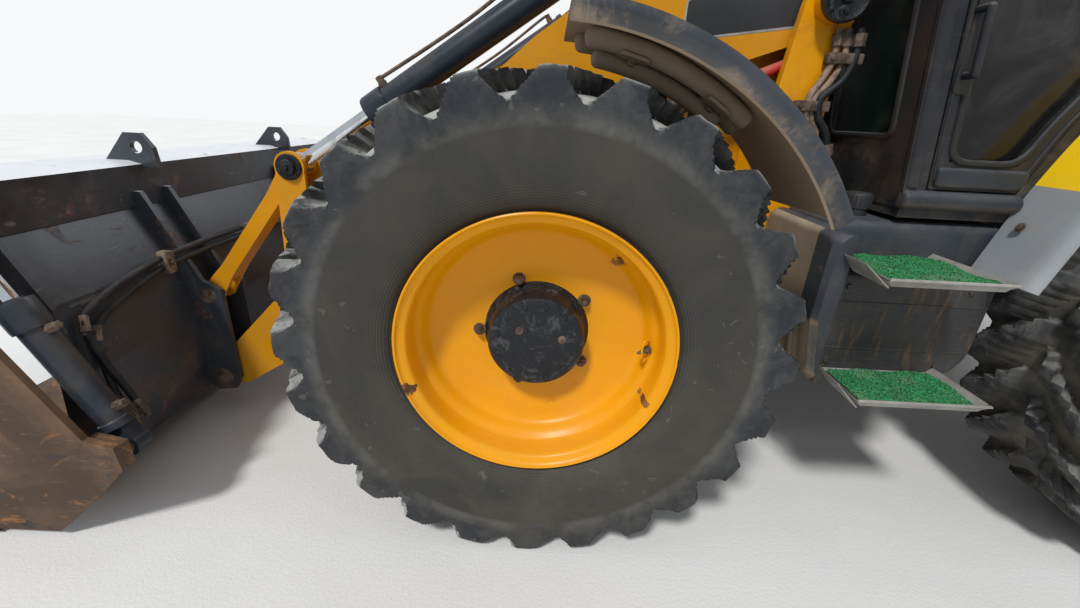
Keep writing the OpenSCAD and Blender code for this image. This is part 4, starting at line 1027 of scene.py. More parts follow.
class LOADER_OT_tanks(bpy.types.Operator):
    """Folded side tanks, moulded front covers, side beams and fillers"""

    bl_idname = "loader.tanks"
    bl_label = "Tanks"

    def execute(self, context):
        tank = Skin()
        body = rounded([[-1.38, 0.64], [-1.34, 0.572], [-0.868, 0.572], [-0.868, 0.898],
                        [-1.38, 0.898]], 0.03, 5)
        tank.closed(slab(body, 0.572, 0.929, 0.014, across))
        for zz in (0.655, 0.81):
            bead = np.array([here(-1.372, 0.9285, zz), here(-0.872, 0.9285, zz)])
            tank.closed(hose(np.linspace(bead[0], bead[1], 12), 0.0035, 8))
        for p in ((-0.93, 0.86), (-1.3, 0.86), (-0.93, 0.61), (-1.28, 0.61)):
            bolt(tank, here(p[0], 0.928, p[1]), [0, 1, 0], 0.009)
        tank.mirrored().piece("side_tanks", "frame", "brushed", "black_paint", ["tanks"],
                              crease=35, weld=True)
        cover = Skin()
        v = np.linspace(0, 1, 30)[None, :]
        u = np.linspace(0, 1, 60)[:, None]
        z = 0.562 + 0.466 * u
        belly = 0.012 * np.sin(np.pi * u) + 0.014 * (u > 0.42) * np.clip((u - 0.42) / 0.05, 0, 1)
        rib = 0.007 * (np.cos(v * 2 * np.pi * 4) > 0.2) * np.clip(np.sin(np.pi * u) * 4, 0, 1)
        round_off = edge_drop(v, 0.03, 0.1) + edge_drop(u, 0.02, 0.06)
        slope = -0.842 + 0.034 * np.clip(u / 0.45, 0, 1)
        front = slope + belly * 0.4 + rib - round_off
        front = np.minimum(front, -0.8075)
        y = 0.575 + 0.424 * v
        face = field(front + FRONT_X, y, z)
        back = field(-0.866 + FRONT_X, y, z)
        cover.grid(face[:, :24], flip=True, slot=3)
        cover.grid(face[:, 23:], flip=True)
        cover.grid(back)
        cover.rims(face, back)
        beam = rectangle(0.575, 0.9, 0.855, 1.044, 0.035, 6)
        cover.closed(slab(beam, -1.4, -0.868, 0.02, facing), slot=1)
        cap = here(-1.0, 0.745, 1.04)
        cover.turned([[0, 0.034], [0.028, 0.034], [0.028, 0.0395], [0.066, 0.0395], [0.072, 0.036],
                      [0.0745, 0.02], [0.0745, 1e-4]], cap, [0, 0, 1], 40, slot=2)
        for a in ring(20):
            rod = np.array([cap + [0.0385 * np.cos(a), 0.0385 * np.sin(a), 0.032],
                            cap + [0.0385 * np.cos(a), 0.0385 * np.sin(a), 0.066]])
            cover.closed(hose(rod, 0.0022, 6, (1, 0.2, 0)), slot=2)
        cover.mirrored().piece("tank_covers", "frame", "muddy plastic gasket caked", "black_paint",
                               crease=35, weld=True)
        return {"FINISHED"}


# Fenders


FENDER_R = 0.8
FENDER_SECTION = [[0.776, -0.0115], [0.776, 0.0015], [0.8, 0.003], [1.12, 0.015], [1.15, 0.018],
                  [1.168, 0.025], [1.179, 0.024], [1.1845, 0.015], [1.185, 0.0], [1.183, -0.024],
                  [1.177, -0.0285], [1.17, -0.024], [1.167, -0.0045], [1.158, 0.002], [1.12, 0.0028],
                  [0.8, -0.0105]]


def arc(section, centre, start, end, steps, side):
    """P[u, k] = centre + r_k (cos u, 0, sin u) + y_k to the side, for rows [y, r] and u in degrees."""
    u = np.radians(np.linspace(start, end, steps))[:, None]
    y, r = np.array(section, float).T
    return field(centre[0] + r * np.cos(u), side * y, centre[2] + r * np.sin(u))


def eased(p, r, steps=5):
    """An open path whose corners are cut by quadratic curves over a length r."""
    p = np.array(p, float)
    q = rounded(p, r, steps).reshape(len(p), steps, 2)
    return np.vstack([p[:1], q[1:-1].reshape(-1, 2), p[-1:]])


def swept(path, section, drop=1.0):
    """P[i, k] = path_i + h_k n_i with y_k, n on the path's right in side view; drop scales rows below it."""
    path, section = np.array(path, float), np.array(section, float)
    t = np.gradient(path, axis=0)
    t /= np.linalg.norm(t, axis=1)[:, None]
    n = np.stack([t[:, 1], -t[:, 0]], 1)
    y, h = section.T
    h = np.where(h[None] < 0, h[None] * np.reshape(drop, (-1, 1)), h[None])
    xz = path[:, None] + n[:, None] * h[..., None]
    return field(xz[..., 0] + FRONT_X, y, xz[..., 1])


ARCH = [[-1.345, 0.905], [-1.407, 1.11], [-1.488, 1.304], [-1.59, 1.47], [-1.75, 1.6], [-2.76, 1.6],
        [-2.93, 1.49], [-2.99, 1.3]]
ARCH_SECTION = [[0.862, 0.017], [1.018, 0.0172], [1.038, 0.0155], [1.051, 0.009], [1.0585, -0.004],
                [1.0605, -0.018], [1.06, -0.034], [1.056, -0.037], [1.0525, -0.034], [1.052, -0.018],
                [1.045, -0.004], [1.02, -0.0012], [0.862, -0.0012]]


# The skin's start and end over the wheel, in degrees
FENDER_ARC = (92.6, 150.4)
# Tubes under a front fender: place across, radius, start and end in degrees, thickness
FENDER_TUBES = ((0.9, 0.776, 95.8, 130.3, 0.0248), (1.03, 0.772, 97.0, 128.0, 0.023),
                (0.965, 0.738, 99.0, 125.0, 0.021))


class LOADER_OT_fenders(bpy.types.Operator):
    """Front fenders with their lips, tubes and brackets, and rear fenders with grey lower ends"""

    bl_idname = "loader.fenders"
    bl_label = "Fenders"

    def execute(self, context):
        section = np.array(FENDER_SECTION) + [0, FENDER_R]
        for key, side in (("fl", 1), ("fr", -1)):
            centre = [FRONT_X, 0, AXLE_Z]
            skin = Skin()
            skin.closed(arc(section, centre, *FENDER_ARC, 64, side), flip=side > 0)
            for y, r, a, b, thick in FENDER_TUBES:
                around = ring(14)
                tube = arc(np.column_stack([y + thick * np.cos(around), r + thick * np.sin(around)]),
                           centre, a, b, 30, side)
                middle_line = tube.mean(1, keepdims=True)
                ends = np.sqrt(np.clip(1 - np.linspace(1, 0, 5)[:-1] ** 2, 0, 1))[:, None, None]
                first = middle_line[0] + (tube[0] - middle_line[0]) * np.maximum(ends, 0.02)
                last = middle_line[-1] + (tube[-1] - middle_line[-1]) * np.maximum(ends[::-1], 0.02)
                step = np.linspace(1, 0, 5)[:-1, None, None] * thick * 0.8
                before, after = tube[0] - tube[1], tube[-1] - tube[-2]
                first = first + before[None] / np.linalg.norm(before, axis=-1).mean() * step
                last = last + after[None] / np.linalg.norm(after, axis=-1).mean() * step[::-1]
                skin.grid(np.concatenate([first, tube, last]), wrap_v=True, slot=1, flip=side < 0)
            for a in (105.0, 122.5):
                t = np.radians(a)
                out, along = np.array([np.cos(t), 0, np.sin(t)]), np.array([-np.sin(t), 0, np.cos(t)])

                def placed(p, q, h, out=out, along=along):
                    at = np.array(centre) + out * (FENDER_R - 0.047)
                    beside = np.array([0, side, 0]) * q[..., None]
                    return at + along * p[..., None] + beside + out * h[..., None]

                plate = rectangle(-0.036, 0.872, 0.036, 1.06, 0.012)
                skin.closed(slab(plate, -0.004, 0.004, 0.002, placed), slot=1, flip=side < 0)
                for q in (0.935, 0.995):
                    bolt(skin, placed(np.array(0.0), np.array(q), np.array(-0.004)), -out, 0.011, slot=2)
            skin.piece(f"fender_{WHEELS[key][2]}", "steer_" + key, "fender tubes iron", "black_paint",
                       crease=38, weld=True)
        path = eased(ARCH, 0.09, 7)
        path = np.vstack([smooth_between(path[i], path[i + 1]) for i in range(len(path) - 1)] + [path[-1:]])
        drop = 0.35 + 0.65 * np.clip((path[:, 1] - 1.25) / 0.3, 0, 1)
        drop = np.where(path[:, 0] < -1.75, 1.0, drop)
        cut = int(np.argmax(path[:, 1] > 1.15))
        skin = Skin()
        skin.closed(swept(path[cut:], ARCH_SECTION, drop[cut:]))
        inset = np.array(ARCH_SECTION) - [0.0035, 0]
        inset[[0, -1], 0] += 0.0035
        skin.closed(swept(path[:cut + 1], inset, drop[:cut + 1]), slot=1)
        for x, z in ((-1.372, 1.06), (-1.388, 0.965)):
            bolt(skin, here(x + 0.01, 0.925, z), [0.96, 0, 0.29], 0.009, slot=2)
        skin.mirrored().piece("rear_fender_skins", "frame", "yellow grey iron", "yellow_paint",
                              ["rear_fenders"], crease=35, weld=True)
        return {"FINISHED"}


def smooth_between(a, b):
    """Points from a up to b about 40 mm apart, without b."""
    count = max(1, int(np.linalg.norm(b - a) / 0.04))
    return a + (b - a) * np.linspace(0, 1, count, endpoint=False)[:, None]


# Cab


# Where the cab's front plane has its knee, and how far it leans there below and above
KNEE_X, KNEE_Z = -0.979, 1.65
LEAN_BELOW, LEAN_ABOVE = 0.13, 0.03


def front_x(z):
    """The cab's front plane, leaning back below its knee."""
    return KNEE_X + (z - KNEE_Z) * np.where(z < KNEE_Z, LEAN_BELOW, LEAN_ABOVE)


PANE = [[-1.345, 1.222], [-1.39, 1.33], [-1.498, 1.512], [-1.64, 1.65], [-1.72, 1.7], [-1.97, 1.7],
        [-1.97, 2.65], [-1.061, 2.65], [-1.091, 1.65], [-1.147, 1.222]]
DOOR = [[-1.37, 1.146], [-1.435, 1.318], [-1.545, 1.5], [-1.68, 1.625], [-1.76, 1.645], [-2.04, 1.645],
        [-2.04, 2.72], [-1.017, 2.72], [-1.049, 1.65], [-1.1145, 1.146]]


def loop_seal(skin, outline, y, radius, corner, inset=0.0):
    """A rubber section around a side-view outline in the plane y."""
    p = np.array(outline, float)
    if np.sum(p[:, 0] * np.roll(p[:, 1], -1) - p[:, 1] * np.roll(p[:, 0], -1)) < 0:
        p = p[::-1]
    p = rounded(p - outline_normals(p) * inset, corner, 5)
    n = outline_normals(p)
    v = ring(10)[None]
    xz = p[:, None] + n[:, None] * (radius * np.cos(v))[..., None]
    P = field(xz[..., 0] + FRONT_X, y + radius * 0.8 * np.sin(v), xz[..., 1])
    skin.grid(P, wrap_u=True, wrap_v=True)


class LOADER_OT_cab(bpy.types.Operator):
    """Rounded roof, window rubbers, sill mouldings, door seals, mirrors and lamps"""

    bl_idname = "loader.cab"
    bl_label = "Cab trim"

    def execute(self, context):
        roof = Skin()
        outline = rounded([[-3.01, 2.78], [-2.99, 2.9], [-2.86, 2.96], [-1.05, 2.96], [-0.86, 2.89],
                           [-0.83, 2.8], [-0.85, 2.78]], 0.06, 7)
        roof.closed(slab(outline, -0.89, 0.89, 0.055, across))
        roof.piece("roof_shell", "frame", "roof", "yellow_paint", ["roof"], crease=60, weld=True)
        seals = Skin()
        loop_seal(seals, [[-2.86, 1.72], [-2.15, 1.72], [-2.15, 2.69], [-2.86, 2.69]], 0.8605, 0.011, 0.05)
        for z0, z1, y0, y1 in ((1.72, 2.71, -0.77, 0.77), (1.28, 1.7, 0.44, 0.77)):
            c = rectangle(y0, z0, y1, z1, 0.04, 5)
            n = outline_normals(c)
            v = ring(8)[None]
            yz = c[:, None] + n[:, None] * (0.01 * np.cos(v))[..., None]
            P = np.stack([front_x(yz[..., 1]) + 0.008 * np.sin(v) + FRONT_X, yz[..., 0], yz[..., 1]], -1)
            seals.grid(P, wrap_u=True, wrap_v=True)
        sill = rounded([[0.835, 1.086], [0.87, 1.086], [0.884, 1.1], [0.884, 1.126], [0.866, 1.142],
                        [0.835, 1.142]], 0.012, 4)
        seals.closed(slab(sill, -1.392, -1.046, 0.012, facing), slot=1)
        post = rounded([[-0.008, 0.0], [0.03, 0.0], [0.03, 0.026], [0.012, 0.04], [-0.008, 0.04]], 0.01, 4)
        z = np.linspace(1.15, 2.77, 30)
        x = front_x(z)[:, None] - 0.03 + post[None, :, 0]
        P = field(x + FRONT_X, 0.832 + post[:, 1], z[:, None])
        seals.closed(P, slot=2)
        housing = rectangle(0.916, 1.956, 1.104, 2.244, 0.035, 6)
        seals.closed(slab(housing, -0.883, -0.846, 0.01, facing), slot=1)
        face = rectangle(0.928, 1.968, 1.092, 2.232, 0.028, 6)
        seals.closed(slab(face, -0.8855, -0.8825, 0.001, facing), slot=3)
        seals.mirrored().piece("window_seals", "frame", "gasket plastic black chrome",
                               "black_paint", weld=True)
        for body, side in (("left_door", 1), ("right_door", -1)):
            door = Skin()
            loop_seal(door, PANE, 0.861, 0.01, 0.05)
            loop_seal(door, DOOR, 0.86, 0.006, 0.04, 0.009)
            low = rounded([[-1.1235, 1.152], [-1.369, 1.152], [-1.383, 1.19], [-1.375, 1.208],
                           [-1.1165, 1.208]], 0.016, 5)
            door.closed(slab(low, 0.852, 0.876, 0.01, across), slot=1)
            latch = rounded([[-1.128, 1.395], [-1.082, 1.395], [-1.07, 1.635], [-1.11, 1.635]], 0.015, 5)
            door.closed(slab(latch, 0.852, 0.868, 0.005, across))
            door.points = [points * [1, side, 1] for points in door.points]
            door.piece(f"{body}_seals", body, "gasket plastic", "black_paint", weld=True)
        lamps = Skin()
        for x0, x1, way in ((-0.944, -0.871, 1), (-3.0, -2.951, -1)):
            body = rectangle(0.642, 2.688, 0.798, 2.779, 0.02, 5)
            inner = rectangle(0.652, 2.697, 0.788, 2.771, 0.016, 5)
            back, front = (x0, x1 - 0.006) if way > 0 else (x0 + 0.006, x1)
            lamps.closed(slab(body, back, front, 0.008, facing), slot=1)
            glass = (front - 0.002, front + 0.005) if way > 0 else (back - 0.005, back + 0.002)
            lamps.closed(slab(inner, *glass, 0.002, facing))
        for z0, z1, slot in ((1.302, 1.344, 2), (1.347, 1.388, 3)):
            lens = rectangle(0.882, z0, 1.034, z1, 0.012, 5)
            lamps.closed(slab(lens, -3.031, -3.008, 0.005, facing), slot=slot)
        lamps.mirrored().piece("lamp_units", "frame", "lens gasket red_lens amber_lens", "lamp_lens",
                               ["lamps"], weld=True)
        return {"FINISHED"}


# Towers, hood and inside


# Places along a tower's pipes: x, y, z and how far apart they stand there
TOWER_RUN = ((-0.925, 0.578, 1.585, 1), (-0.928, 0.582, 1.5, 1), (-0.905, 0.582, 1.435, 1),
             (-0.868, 0.582, 1.385, 0.6), (-0.872, 0.582, 1.33, 0.6), (-0.905, 0.58, 1.27, 1),
             (-0.925, 0.58, 1.18, 1), (-0.92, 0.58, 1.08, 1))


# Two steel pipes and a hose on a tower: offset along and across, radius, slot
TOWER_PIPES = ((0.0, 0.0, 0.0105, 0), (0.032, 0.004, 0.0105, 0), (-0.03, 0.01, 0.0125, 1))


class LOADER_OT_towers(bpy.types.Operator):
    """Steel pipes with clamps on the towers, bare plates on the arms, and strut ends"""

    bl_idname = "loader.towers"
    bl_label = "Tower pipes"

    def execute(self, context):
        pipes = Skin()
        for dx, dy, r, slot in TOWER_PIPES:
            run = smooth_path([here(x + dx * spread, y + dy, z) for x, y, z, spread in TOWER_RUN], 8)
            pipes.closed(hose(run, r, 12), slot=slot)
            for i in (3, 44):
                at, d = run[i], run[i + 1] - run[i]
                pipes.turned([[-0.018, r], [-0.018, r * 1.6], [0.018, r * 1.6], [0.018, r]], at,
                             d, 6, slot=2)
        for z, x in ((1.5, -0.928), (1.36, -0.862), (1.18, -0.925)):
            plate = rectangle(x - 0.055, z - 0.016, x + 0.055, z + 0.016, 0.006)
            pipes.closed(slab(plate, 0.568, 0.601, 0.003, across), slot=2)
            bolt(pipes, here(x + 0.044, 0.601, z), [0, 1, 0], 0.007, slot=2)
        pipes.mirrored().piece("tower_pipes", "frame", "pipes hose iron", "step_metal",
                               crease=35, weld=True)
        arms = Skin()
        plate = rounded([[-0.8, 1.598], [-0.43, 1.543], [-0.43, 1.65], [-0.8, 1.708]], 0.01)
        border = rounded([[-0.806, 1.591], [-0.424, 1.534], [-0.424, 1.656], [-0.806, 1.716]], 0.012)
        arms.closed(slab(border, 0.5165, 0.519, 0.0008, across), slot=1)
        arms.closed(slab(plate, 0.5175, 0.52, 0.0008, across))
        for (x, z), (dx, dz) in (((-0.82, 1.5), (-1, 0.42)), ((-0.44, 1.34), (1, -0.42))):
            arms.turned([[-0.06, 0.0175], [-0.058, 0.031], [-0.02, 0.034], [-0.004, 0.034], [0.006, 0.028],
                         [0.008, 1e-4]], here(x, 0.508, z) + np.array([dx, 0, dz]) * 0.016,
                        [dx, 0, dz], 32, slot=2)
            bolt(arms, here(x, 0.524, z), [0, 1, 0], 0.012, slot=2)
        arms.mirrored().piece("arm_plates", "loader", "plain_plate tray gasket", "black_paint", weld=True)
        return {"FINISHED"}


LOUVRES, LOUVRE_PITCH, LOUVRE_WIDTH = 9, 0.058, 0.04


class LOADER_OT_hood(bpy.types.Operator):
    """Side louvres, bars of the grille, latches and a seam along the hood"""

    bl_idname = "loader.hood"
    bl_label = "Hood details"

    def execute(self, context):
        hood = Skin()
        for i in range(LOUVRES):
            x = -0.62 + i * LOUVRE_PITCH
            slat = rectangle(x, 1.25, x + LOUVRE_WIDTH, 1.47, 0.012)
            P = slab(slat, 0.3795, 0.39, 0.003, across)
            P[..., 1] -= np.clip((P[..., 0] - FRONT_X - x) / LOUVRE_WIDTH, 0, 1) * 0.008
            hood.closed(P, slot=1)
        latch = rectangle(0.3, 1.06, 0.39, 1.095, 0.01)
        hood.closed(slab(latch, 0.379, 0.392, 0.004, across), slot=1)
        bolt(hood, here(0.345, 0.392, 1.078), [0, 1, 0], 0.009, slot=2)
        seam = np.array([here(-0.94, 0.3805, 1.03), here(0.79, 0.3805, 1.03)])
        hood.closed(hose(np.linspace(seam[0], seam[1], 30), 0.004, 8), slot=1)
        hood.mirrored()
        for y0, y1, z0, z1 in ((-0.29, 0.29, 1.012, 1.021), (-0.29, 0.29, 1.134, 1.146)):
            bar = rectangle(y0, z0, y1, z1, 0.003)
            hood.closed(slab(bar, 0.8, 0.8125, 0.002, facing), slot=1)
        hood.piece("hood_details", "engine_cover", "amber gasket iron", "black_paint", weld=True)
        return {"FINISHED"}


# The steering wheel: degrees of tilt, radius of its ring, and of the ring's section
WHEEL_TILT, WHEEL_R, WHEEL_RIM_R = 49, 0.18, 0.0155


class LOADER_OT_inside(bpy.types.Operator):
    """Seat cushions, steering wheel, levers and pedals"""

    bl_idname = "loader.inside"
    bl_label = "Inside the cab"

    def execute(self, context):
        for name, at, half, lean in (("seat_base", (-2.05, 0, 1.565), (0.245, 0.245, 0.075), 0.0),
                                     ("seat_back", (-2.262, 0, 1.86), (0.085, 0.225, 0.3), -0.16)):
            P = cushion([0, 0, 0], half, 0.45, (40, 26))
            puff = 1 + 0.05 * np.cos(P[..., 1] * 28)
            swell = (puff, 1, 1) if half[0] < 0.1 else (1, 1, puff)
            P = P * field(*swell)
            turn = np.array([[np.cos(lean), 0, np.sin(lean)], [0, 1, 0], [-np.sin(lean), 0, np.cos(lean)]])
            skin = Skin().grid(P @ turn.T + here(*at), wrap_u=True)
            skin.piece(name, "frame", "cloth", "cab_trim", crease=180, weld=True)
        fit = Skin()
        centre = here(-1.565, 0, 1.795)
        axis = np.array([-np.sin(np.radians(WHEEL_TILT)), 0, np.cos(np.radians(WHEEL_TILT))])
        section = np.column_stack([WHEEL_RIM_R * np.sin(ring(14)),
                                   WHEEL_R + WHEEL_RIM_R * np.cos(ring(14))])
        fit.grid(lathe(section, centre, axis, 64), wrap_u=True, wrap_v=True)
        fit.turned([[-0.01, 1e-4], [-0.01, 0.052], [0.004, 0.054], [0.012, 0.046], [0.014, 1e-4]],
                   centre, axis, 32)
        for side in (1, -1):
            for k, x in enumerate((-2.66, -2.72, -2.78)):
                lever = smooth_path([here(x, side * 0.34 + 0.03 * k, 1.75),
                                     here(x + 0.02, side * 0.34 + 0.03 * k, 1.86),
                                     here(x + 0.035, side * 0.34 + 0.03 * k, 1.93)], 5)
                fit.closed(hose(lever, 0.006, 8, (0, 1, 0.1)), slot=1)
                fit.grid(cushion(lever[-1] + [0, 0, 0.02], (0.017, 0.017, 0.026), 0.8,
                                 (16, 10)), wrap_u=True)
            for x in (-1.46, -1.4):
                pedal = rectangle(x, side * 0.16 - 0.03, x + 0.05, side * 0.16 + 0.03, 0.008)
                fit.closed(slab(pedal, 1.15, 1.162, 0.003, flat), slot=1)
        fit.piece("cab_controls", "frame", "trim iron", "cab_trim", weld=True)
        return {"FINISHED"}


# Cylinders and digger


def cylinder_trim(skin, p, q, y, r, length, rod_r, piped):
    """Gland ring, wiper, end cap, ports and the steel pipe along a barrel from p towards q in the plane y."""
    a, b = here(p[0], y, p[1]), here(q[0], y, q[1])
    d = (b - a) / np.linalg.norm(b - a)
    up = np.cross(d, [0, 1, 0])
    up *= np.sign(up[2]) if abs(up[2]) > 1e-3 else 1
    skin.turned([[-0.07, r], [-0.07, r * 1.17], [-0.06, r * 1.2], [0.006, r * 1.2], [0.0135, r * 1.14],
                 [0.0135, rod_r + 0.007], [0.02, rod_r + 0.006], [0.021, rod_r + 0.0008]],
                a + d * length, d, 40)
    skin.turned([[r * 1.62, r], [r * 1.62, r * 1.09], [r * 1.62 + 0.022, r * 1.09],
                 [r * 1.62 + 0.026, r]], a, d, 36)
    for s in (r * 1.6 + 0.06, length - 0.085):
        skin.turned([[r * 0.8, 0.016], [r + 0.014, 0.016], [r + 0.016, 0.0135], [r + 0.032, 0.0135],
                     [r + 0.034, 0.011], [r + 0.034, 1e-4]], a + d * s, up, 6, slot=1)
    if not piped:
        return
    run = smooth_path([a + d * (r * 1.6 + 0.06) + up * (r + 0.028),
                       a + d * (r * 1.6 + 0.1) + up * (r + 0.03), a + d * (length * 0.5) + up * (r + 0.014),
                       a + d * (length - 0.125) + up * (r + 0.024),
                       a + d * (length - 0.085) + up * (r + 0.03)], 7)
    skin.closed(hose(run, 0.0065, 8, (0.05, 1, 0.03)), slot=1)


CLAM_Y = 1.105
CYLINDERS = [
    # body, foot, rod's eye, y, radius, length, rod radius, both sides
    ("lift_barrels_body", (-0.95, 0.83), (0.05, 1.225), 0.452, 0.048, 0.935, 0.025, True),
    ("tip_barrels_body", (-0.13, 1.77), (0.915, 1.075), 0.47, 0.048, 0.9, 0.025, True),
    ("clam_barrels_body", (1.225, 0.3), (1.508, 0.935), CLAM_Y, 0.04, 0.48, 0.022, True),
    ("boom_barrel_body", (-3.54, 0.985), (-3.235, 2.05), 0.0, 0.055, 0.96, 0.03, False),
    ("dipper_barrel_body", (-3.215, 2.178), (-3.316, 3.443), 0.0, 0.055, 0.672, 0.03, False),
]


class LOADER_OT_cylinders(bpy.types.Operator):
    """Glands, ports and pipes of the cylinders"""

    bl_idname = "loader.cylinders"
    bl_label = "Cylinder trim"

    def execute(self, context):
        for body, foot, eye, y, r, length, rod_r, both in CYLINDERS:
            skin = Skin()
            cylinder_trim(skin, foot, eye, y, r, length, rod_r, piped=y != CLAM_Y)
            if both:
                skin.mirrored()
            skin.piece(body.replace("_body", "_trim"), body, "blue iron", "black_paint", weld=True)
        return {"FINISHED"}


# Places along the boom's hoses: x and z
BOOM_RUN = ((-3.66, 0.9), (-3.705, 1.1), (-3.69, 1.4), (-3.655, 1.8), (-3.64, 2.25), (-3.615, 2.6),
            (-3.585, 2.85))


class LOADER_OT_digger(bpy.types.Operator):
    """Pin caps, hoses along the boom, leg pads and frame bolts of the digger"""

    bl_idname = "loader.digger"
    bl_label = "Digger fittings"

    def execute(self, context):
        for body, rows in (("kingpost_body", [(-3.77, 0.62, 0.15, 0.04), (-3.54, 0.985, 0.15, 0.04)]),
                           ("boom_body", [(-3.48, 3.18, 0.111, 0.044), (-3.215, 2.178, 0.092, 0.036)]),
                           ("dipper_body", [(-4.3, 1.9, 0.112, 0.038)])):
            caps = Skin()
            for x, z, y, r in rows:
                caps.turned([[-0.002, r], [0.008, r], [0.012, r * 0.9], [0.012, r * 0.6], [0.018, r * 0.55],
                             [0.018, 1e-4]], here(x, y, z), [0, 1, 0], 32)
                bolt(caps, here(x, y + 0.017, z), [0, 1, 0], r * 0.24)
            caps.mirrored().piece(body.replace("_body", "_pin_caps"), body, "hub", "black_paint", weld=True)
        runs = Skin()
        for y in (0.03, 0.058):
            for dx in (0.0, 0.03):
                path = smooth_path([here(x - dx, y, z) for x, z in BOOM_RUN], 8)
                runs.closed(hose(path, 0.012, 10, (0.1, 1, 0)))
        for z, x in ((1.5, -3.672), (2.0, -3.648), (2.5, -3.622)):
            clamp = rectangle(x - 0.055, z - 0.018, x + 0.05, z + 0.018, 0.006)
            runs.closed(slab(clamp, 0.0, 0.08, 0.003, across), slot=1)
        runs.mirrored().piece("boom_hoses", "boom_body", "hose iron", "black_paint")
        for side, name in ((1, "left"), (-1, "right")):
            foot = Skin()
            pad = rectangle(-3.29, 0.96, -2.98, 1.19, 0.03, 5)
            P = slab(pad, 0.262, 0.3, 0.008, flat)
            foot.closed(P * [1, side, 1], flip=side < 0)
            for x in (-3.265, -3.005):
                bolt(foot, here(x, side * 1.075, 0.3), [0, 0, 1], 0.013, slot=1)
            foot.piece(f"leg_pad_{name}", f"leg_{name}_body", "black iron", "black_paint", weld=True)
        frame_bolts = Skin()
        for z in (0.6, 1.18):
            for y in (0.2, 0.52, 0.76, 1.02):
                bolt(frame_bolts, here(-3.11, y, z), [1, 0, 0], 0.015)
        frame_bolts.mirrored().piece("shift_frame_bolts", "frame", "iron", "castings", weld=True)
        return {"FINISHED"}


# Stage


# The camera, fitted to the photograph, then lowered: focal length and width in the photograph's
# pixels, angles in degrees, place
SENSOR_MM = 36
FOCAL_PIXELS, PHOTO_WIDTH = 458.0, 1080
YAW, PITCH, ROLL = 0.3, 22.3, 3.0
CAMERA_AT = (0.0, 2.235, 1.2875)
# name, place, aim, strength, apparent size in degrees
LAMPS = (("sun", (3, 6, 9), (0, 0, 0.5), 2.6, 8), ("fill", (-6, -7, 7), (0, 0, 1), 0.8, 30))
SKY, SKY_STRENGTH = (0.88, 0.93, 1.0, 1), 0.62
BACKDROP = (0.93, 0.94, 0.95, 1)
FLOOR_HALF, FLOOR_Z = 30, -0.001


def placed_by(right, up, back, at):
    """The matrix of an object with these axes at this place."""
    return Matrix([[*row, w] for row, w in zip(np.column_stack([right, up, back]), at)] + [[0, 0, 0, 1]])


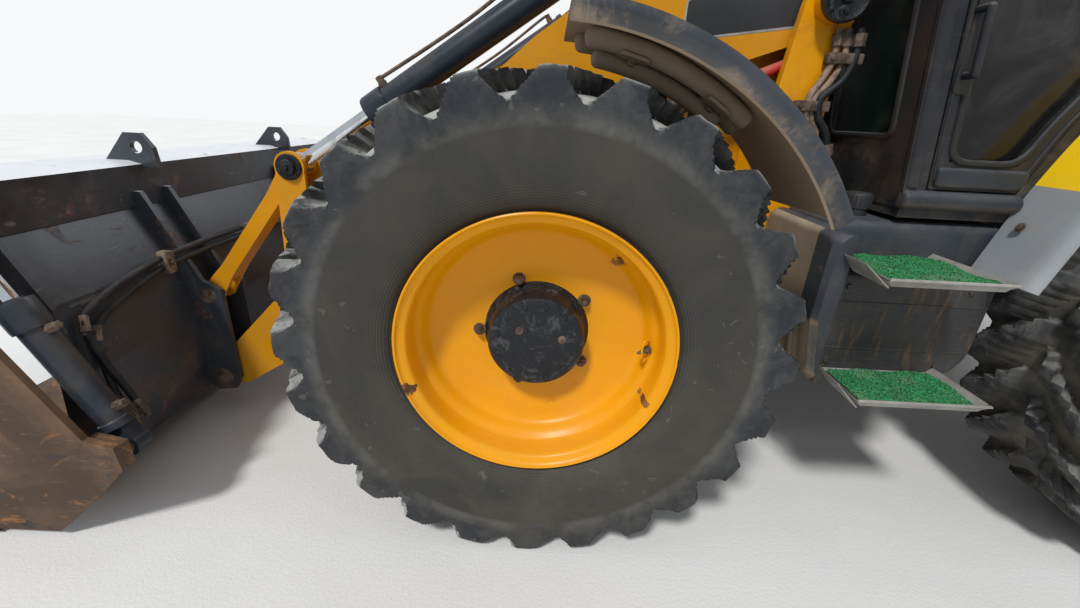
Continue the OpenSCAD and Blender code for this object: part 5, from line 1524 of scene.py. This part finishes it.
class LOADER_OT_stage(bpy.types.Operator):
    """Pale floor, soft lamps, pale world and the camera"""

    bl_idname = "loader.stage"
    bl_label = "Stage"

    def execute(self, context):
        floor = Skin()
        g = np.linspace(-FLOOR_HALF, FLOOR_HALF, 7)
        floor.grid(field(g[:, None], g[None], FLOOR_Z))
        mesh = bpy.data.meshes.new("floor")
        mesh.from_pydata(np.concatenate(floor.points).tolist(), [], floor.faces)
        mesh.materials.append(pale_floor("pale floor"))
        obj = bpy.data.objects.new("floor", mesh)
        context.scene.collection.objects.link(obj)
        world = bpy.data.worlds.new("pale world")
        context.scene.world = world
        world.use_nodes = True
        tree = world.node_tree
        sky = tree.nodes["Background"]
        sky.inputs["Color"].default_value = SKY
        sky.inputs["Strength"].default_value = SKY_STRENGTH
        seen = tree.nodes.new("ShaderNodeBackground")
        seen.inputs["Color"].default_value = BACKDROP
        seen.inputs["Strength"].default_value = 1.0
        path = tree.nodes.new("ShaderNodeLightPath")
        mix = tree.nodes.new("ShaderNodeMixShader")
        most = tree.nodes.new("ShaderNodeMath")
        most.operation = "MAXIMUM"
        tree.links.new(path.outputs["Is Camera Ray"], most.inputs[0])
        tree.links.new(path.outputs["Is Transmission Ray"], most.inputs[1])
        tree.links.new(most.outputs[0], mix.inputs[0])
        tree.links.new(sky.outputs[0], mix.inputs[1])
        tree.links.new(seen.outputs[0], mix.inputs[2])
        tree.links.new(mix.outputs[0], tree.nodes["World Output"].inputs["Surface"])
        for name, where, to, power, spread in LAMPS:
            lamp = bpy.data.lights.new(name, "SUN")
            lamp.energy, lamp.angle = power, np.radians(spread)
            holder = bpy.data.objects.new(name, lamp)
            context.scene.collection.objects.link(holder)
            back = (np.array(where, float) - to)
            back /= np.linalg.norm(back)
            right = np.cross([0, 0, 1], back)
            right /= np.linalg.norm(right)
            holder.matrix_world = placed_by(right, np.cross(back, right), back, where)
        context.scene.view_settings.view_transform = "Standard"
        camera = bpy.data.cameras.new("camera")
        camera.sensor_width, camera.lens = SENSOR_MM, SENSOR_MM * FOCAL_PIXELS / PHOTO_WIDTH
        camera.clip_start = 0.02
        eye = bpy.data.objects.new("camera", camera)
        context.scene.collection.objects.link(eye)
        yaw, pitch, roll = np.radians([YAW, PITCH, ROLL])
        ahead = np.array([np.sin(-yaw), -np.cos(yaw), 0])
        right = np.array([-np.cos(yaw), -np.sin(-yaw), 0])
        look = ahead * np.cos(pitch) - np.array([0, 0, 1]) * np.sin(pitch)
        up = np.array([0, 0, 1]) * np.cos(pitch) + ahead * np.sin(pitch)
        r3, u3 = right * np.cos(roll) + up * np.sin(roll), up * np.cos(roll) - right * np.sin(roll)
        eye.matrix_world = placed_by(r3, u3, -look, here(*CAMERA_AT))
        context.scene.camera = eye
        return {"FINISHED"}


class LOADER_PT_panel(bpy.types.Panel):
    """Lists the pieces of the loader's looks"""

    bl_idname = "LOADER_PT_panel"
    bl_label = "Backhoe loader"
    bl_space_type = "VIEW_3D"
    bl_region_type = "UI"
    bl_category = "Loader"

    def draw(self, context):
        for group in (context.scene.loader_sizes, context.scene.loader_colours):
            for key in group.bl_rna.properties.keys():
                if key not in ("rna_type", "name"):
                    self.layout.prop(group, key)
        for operator in OPERATORS:
            self.layout.operator(operator.bl_idname)


OPERATORS = (LOADER_OT_finishes, LOADER_OT_tyres, LOADER_OT_rims, LOADER_OT_bucket, LOADER_OT_linkage,
             LOADER_OT_steps, LOADER_OT_tanks, LOADER_OT_fenders, LOADER_OT_cab, LOADER_OT_towers,
             LOADER_OT_hood, LOADER_OT_inside, LOADER_OT_cylinders, LOADER_OT_digger, LOADER_OT_stage)
CLASSES = (LoaderColours, LoaderSizes, *OPERATORS, LOADER_PT_panel)


def register():
    for c in CLASSES:
        bpy.utils.register_class(c)
    bpy.types.Scene.loader_sizes = bpy.props.PointerProperty(type=LoaderSizes)
    bpy.types.Scene.loader_colours = bpy.props.PointerProperty(type=LoaderColours)


def unregister():
    del bpy.types.Scene.loader_colours
    del bpy.types.Scene.loader_sizes
    for c in reversed(CLASSES):
        bpy.utils.unregister_class(c)


def main():
    """Registers the classes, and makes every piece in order."""
    register()
    for operator in OPERATORS:
        group, name = operator.bl_idname.split(".")
        getattr(getattr(bpy.ops, group), name)()


if __name__ == "__main__":
    main()
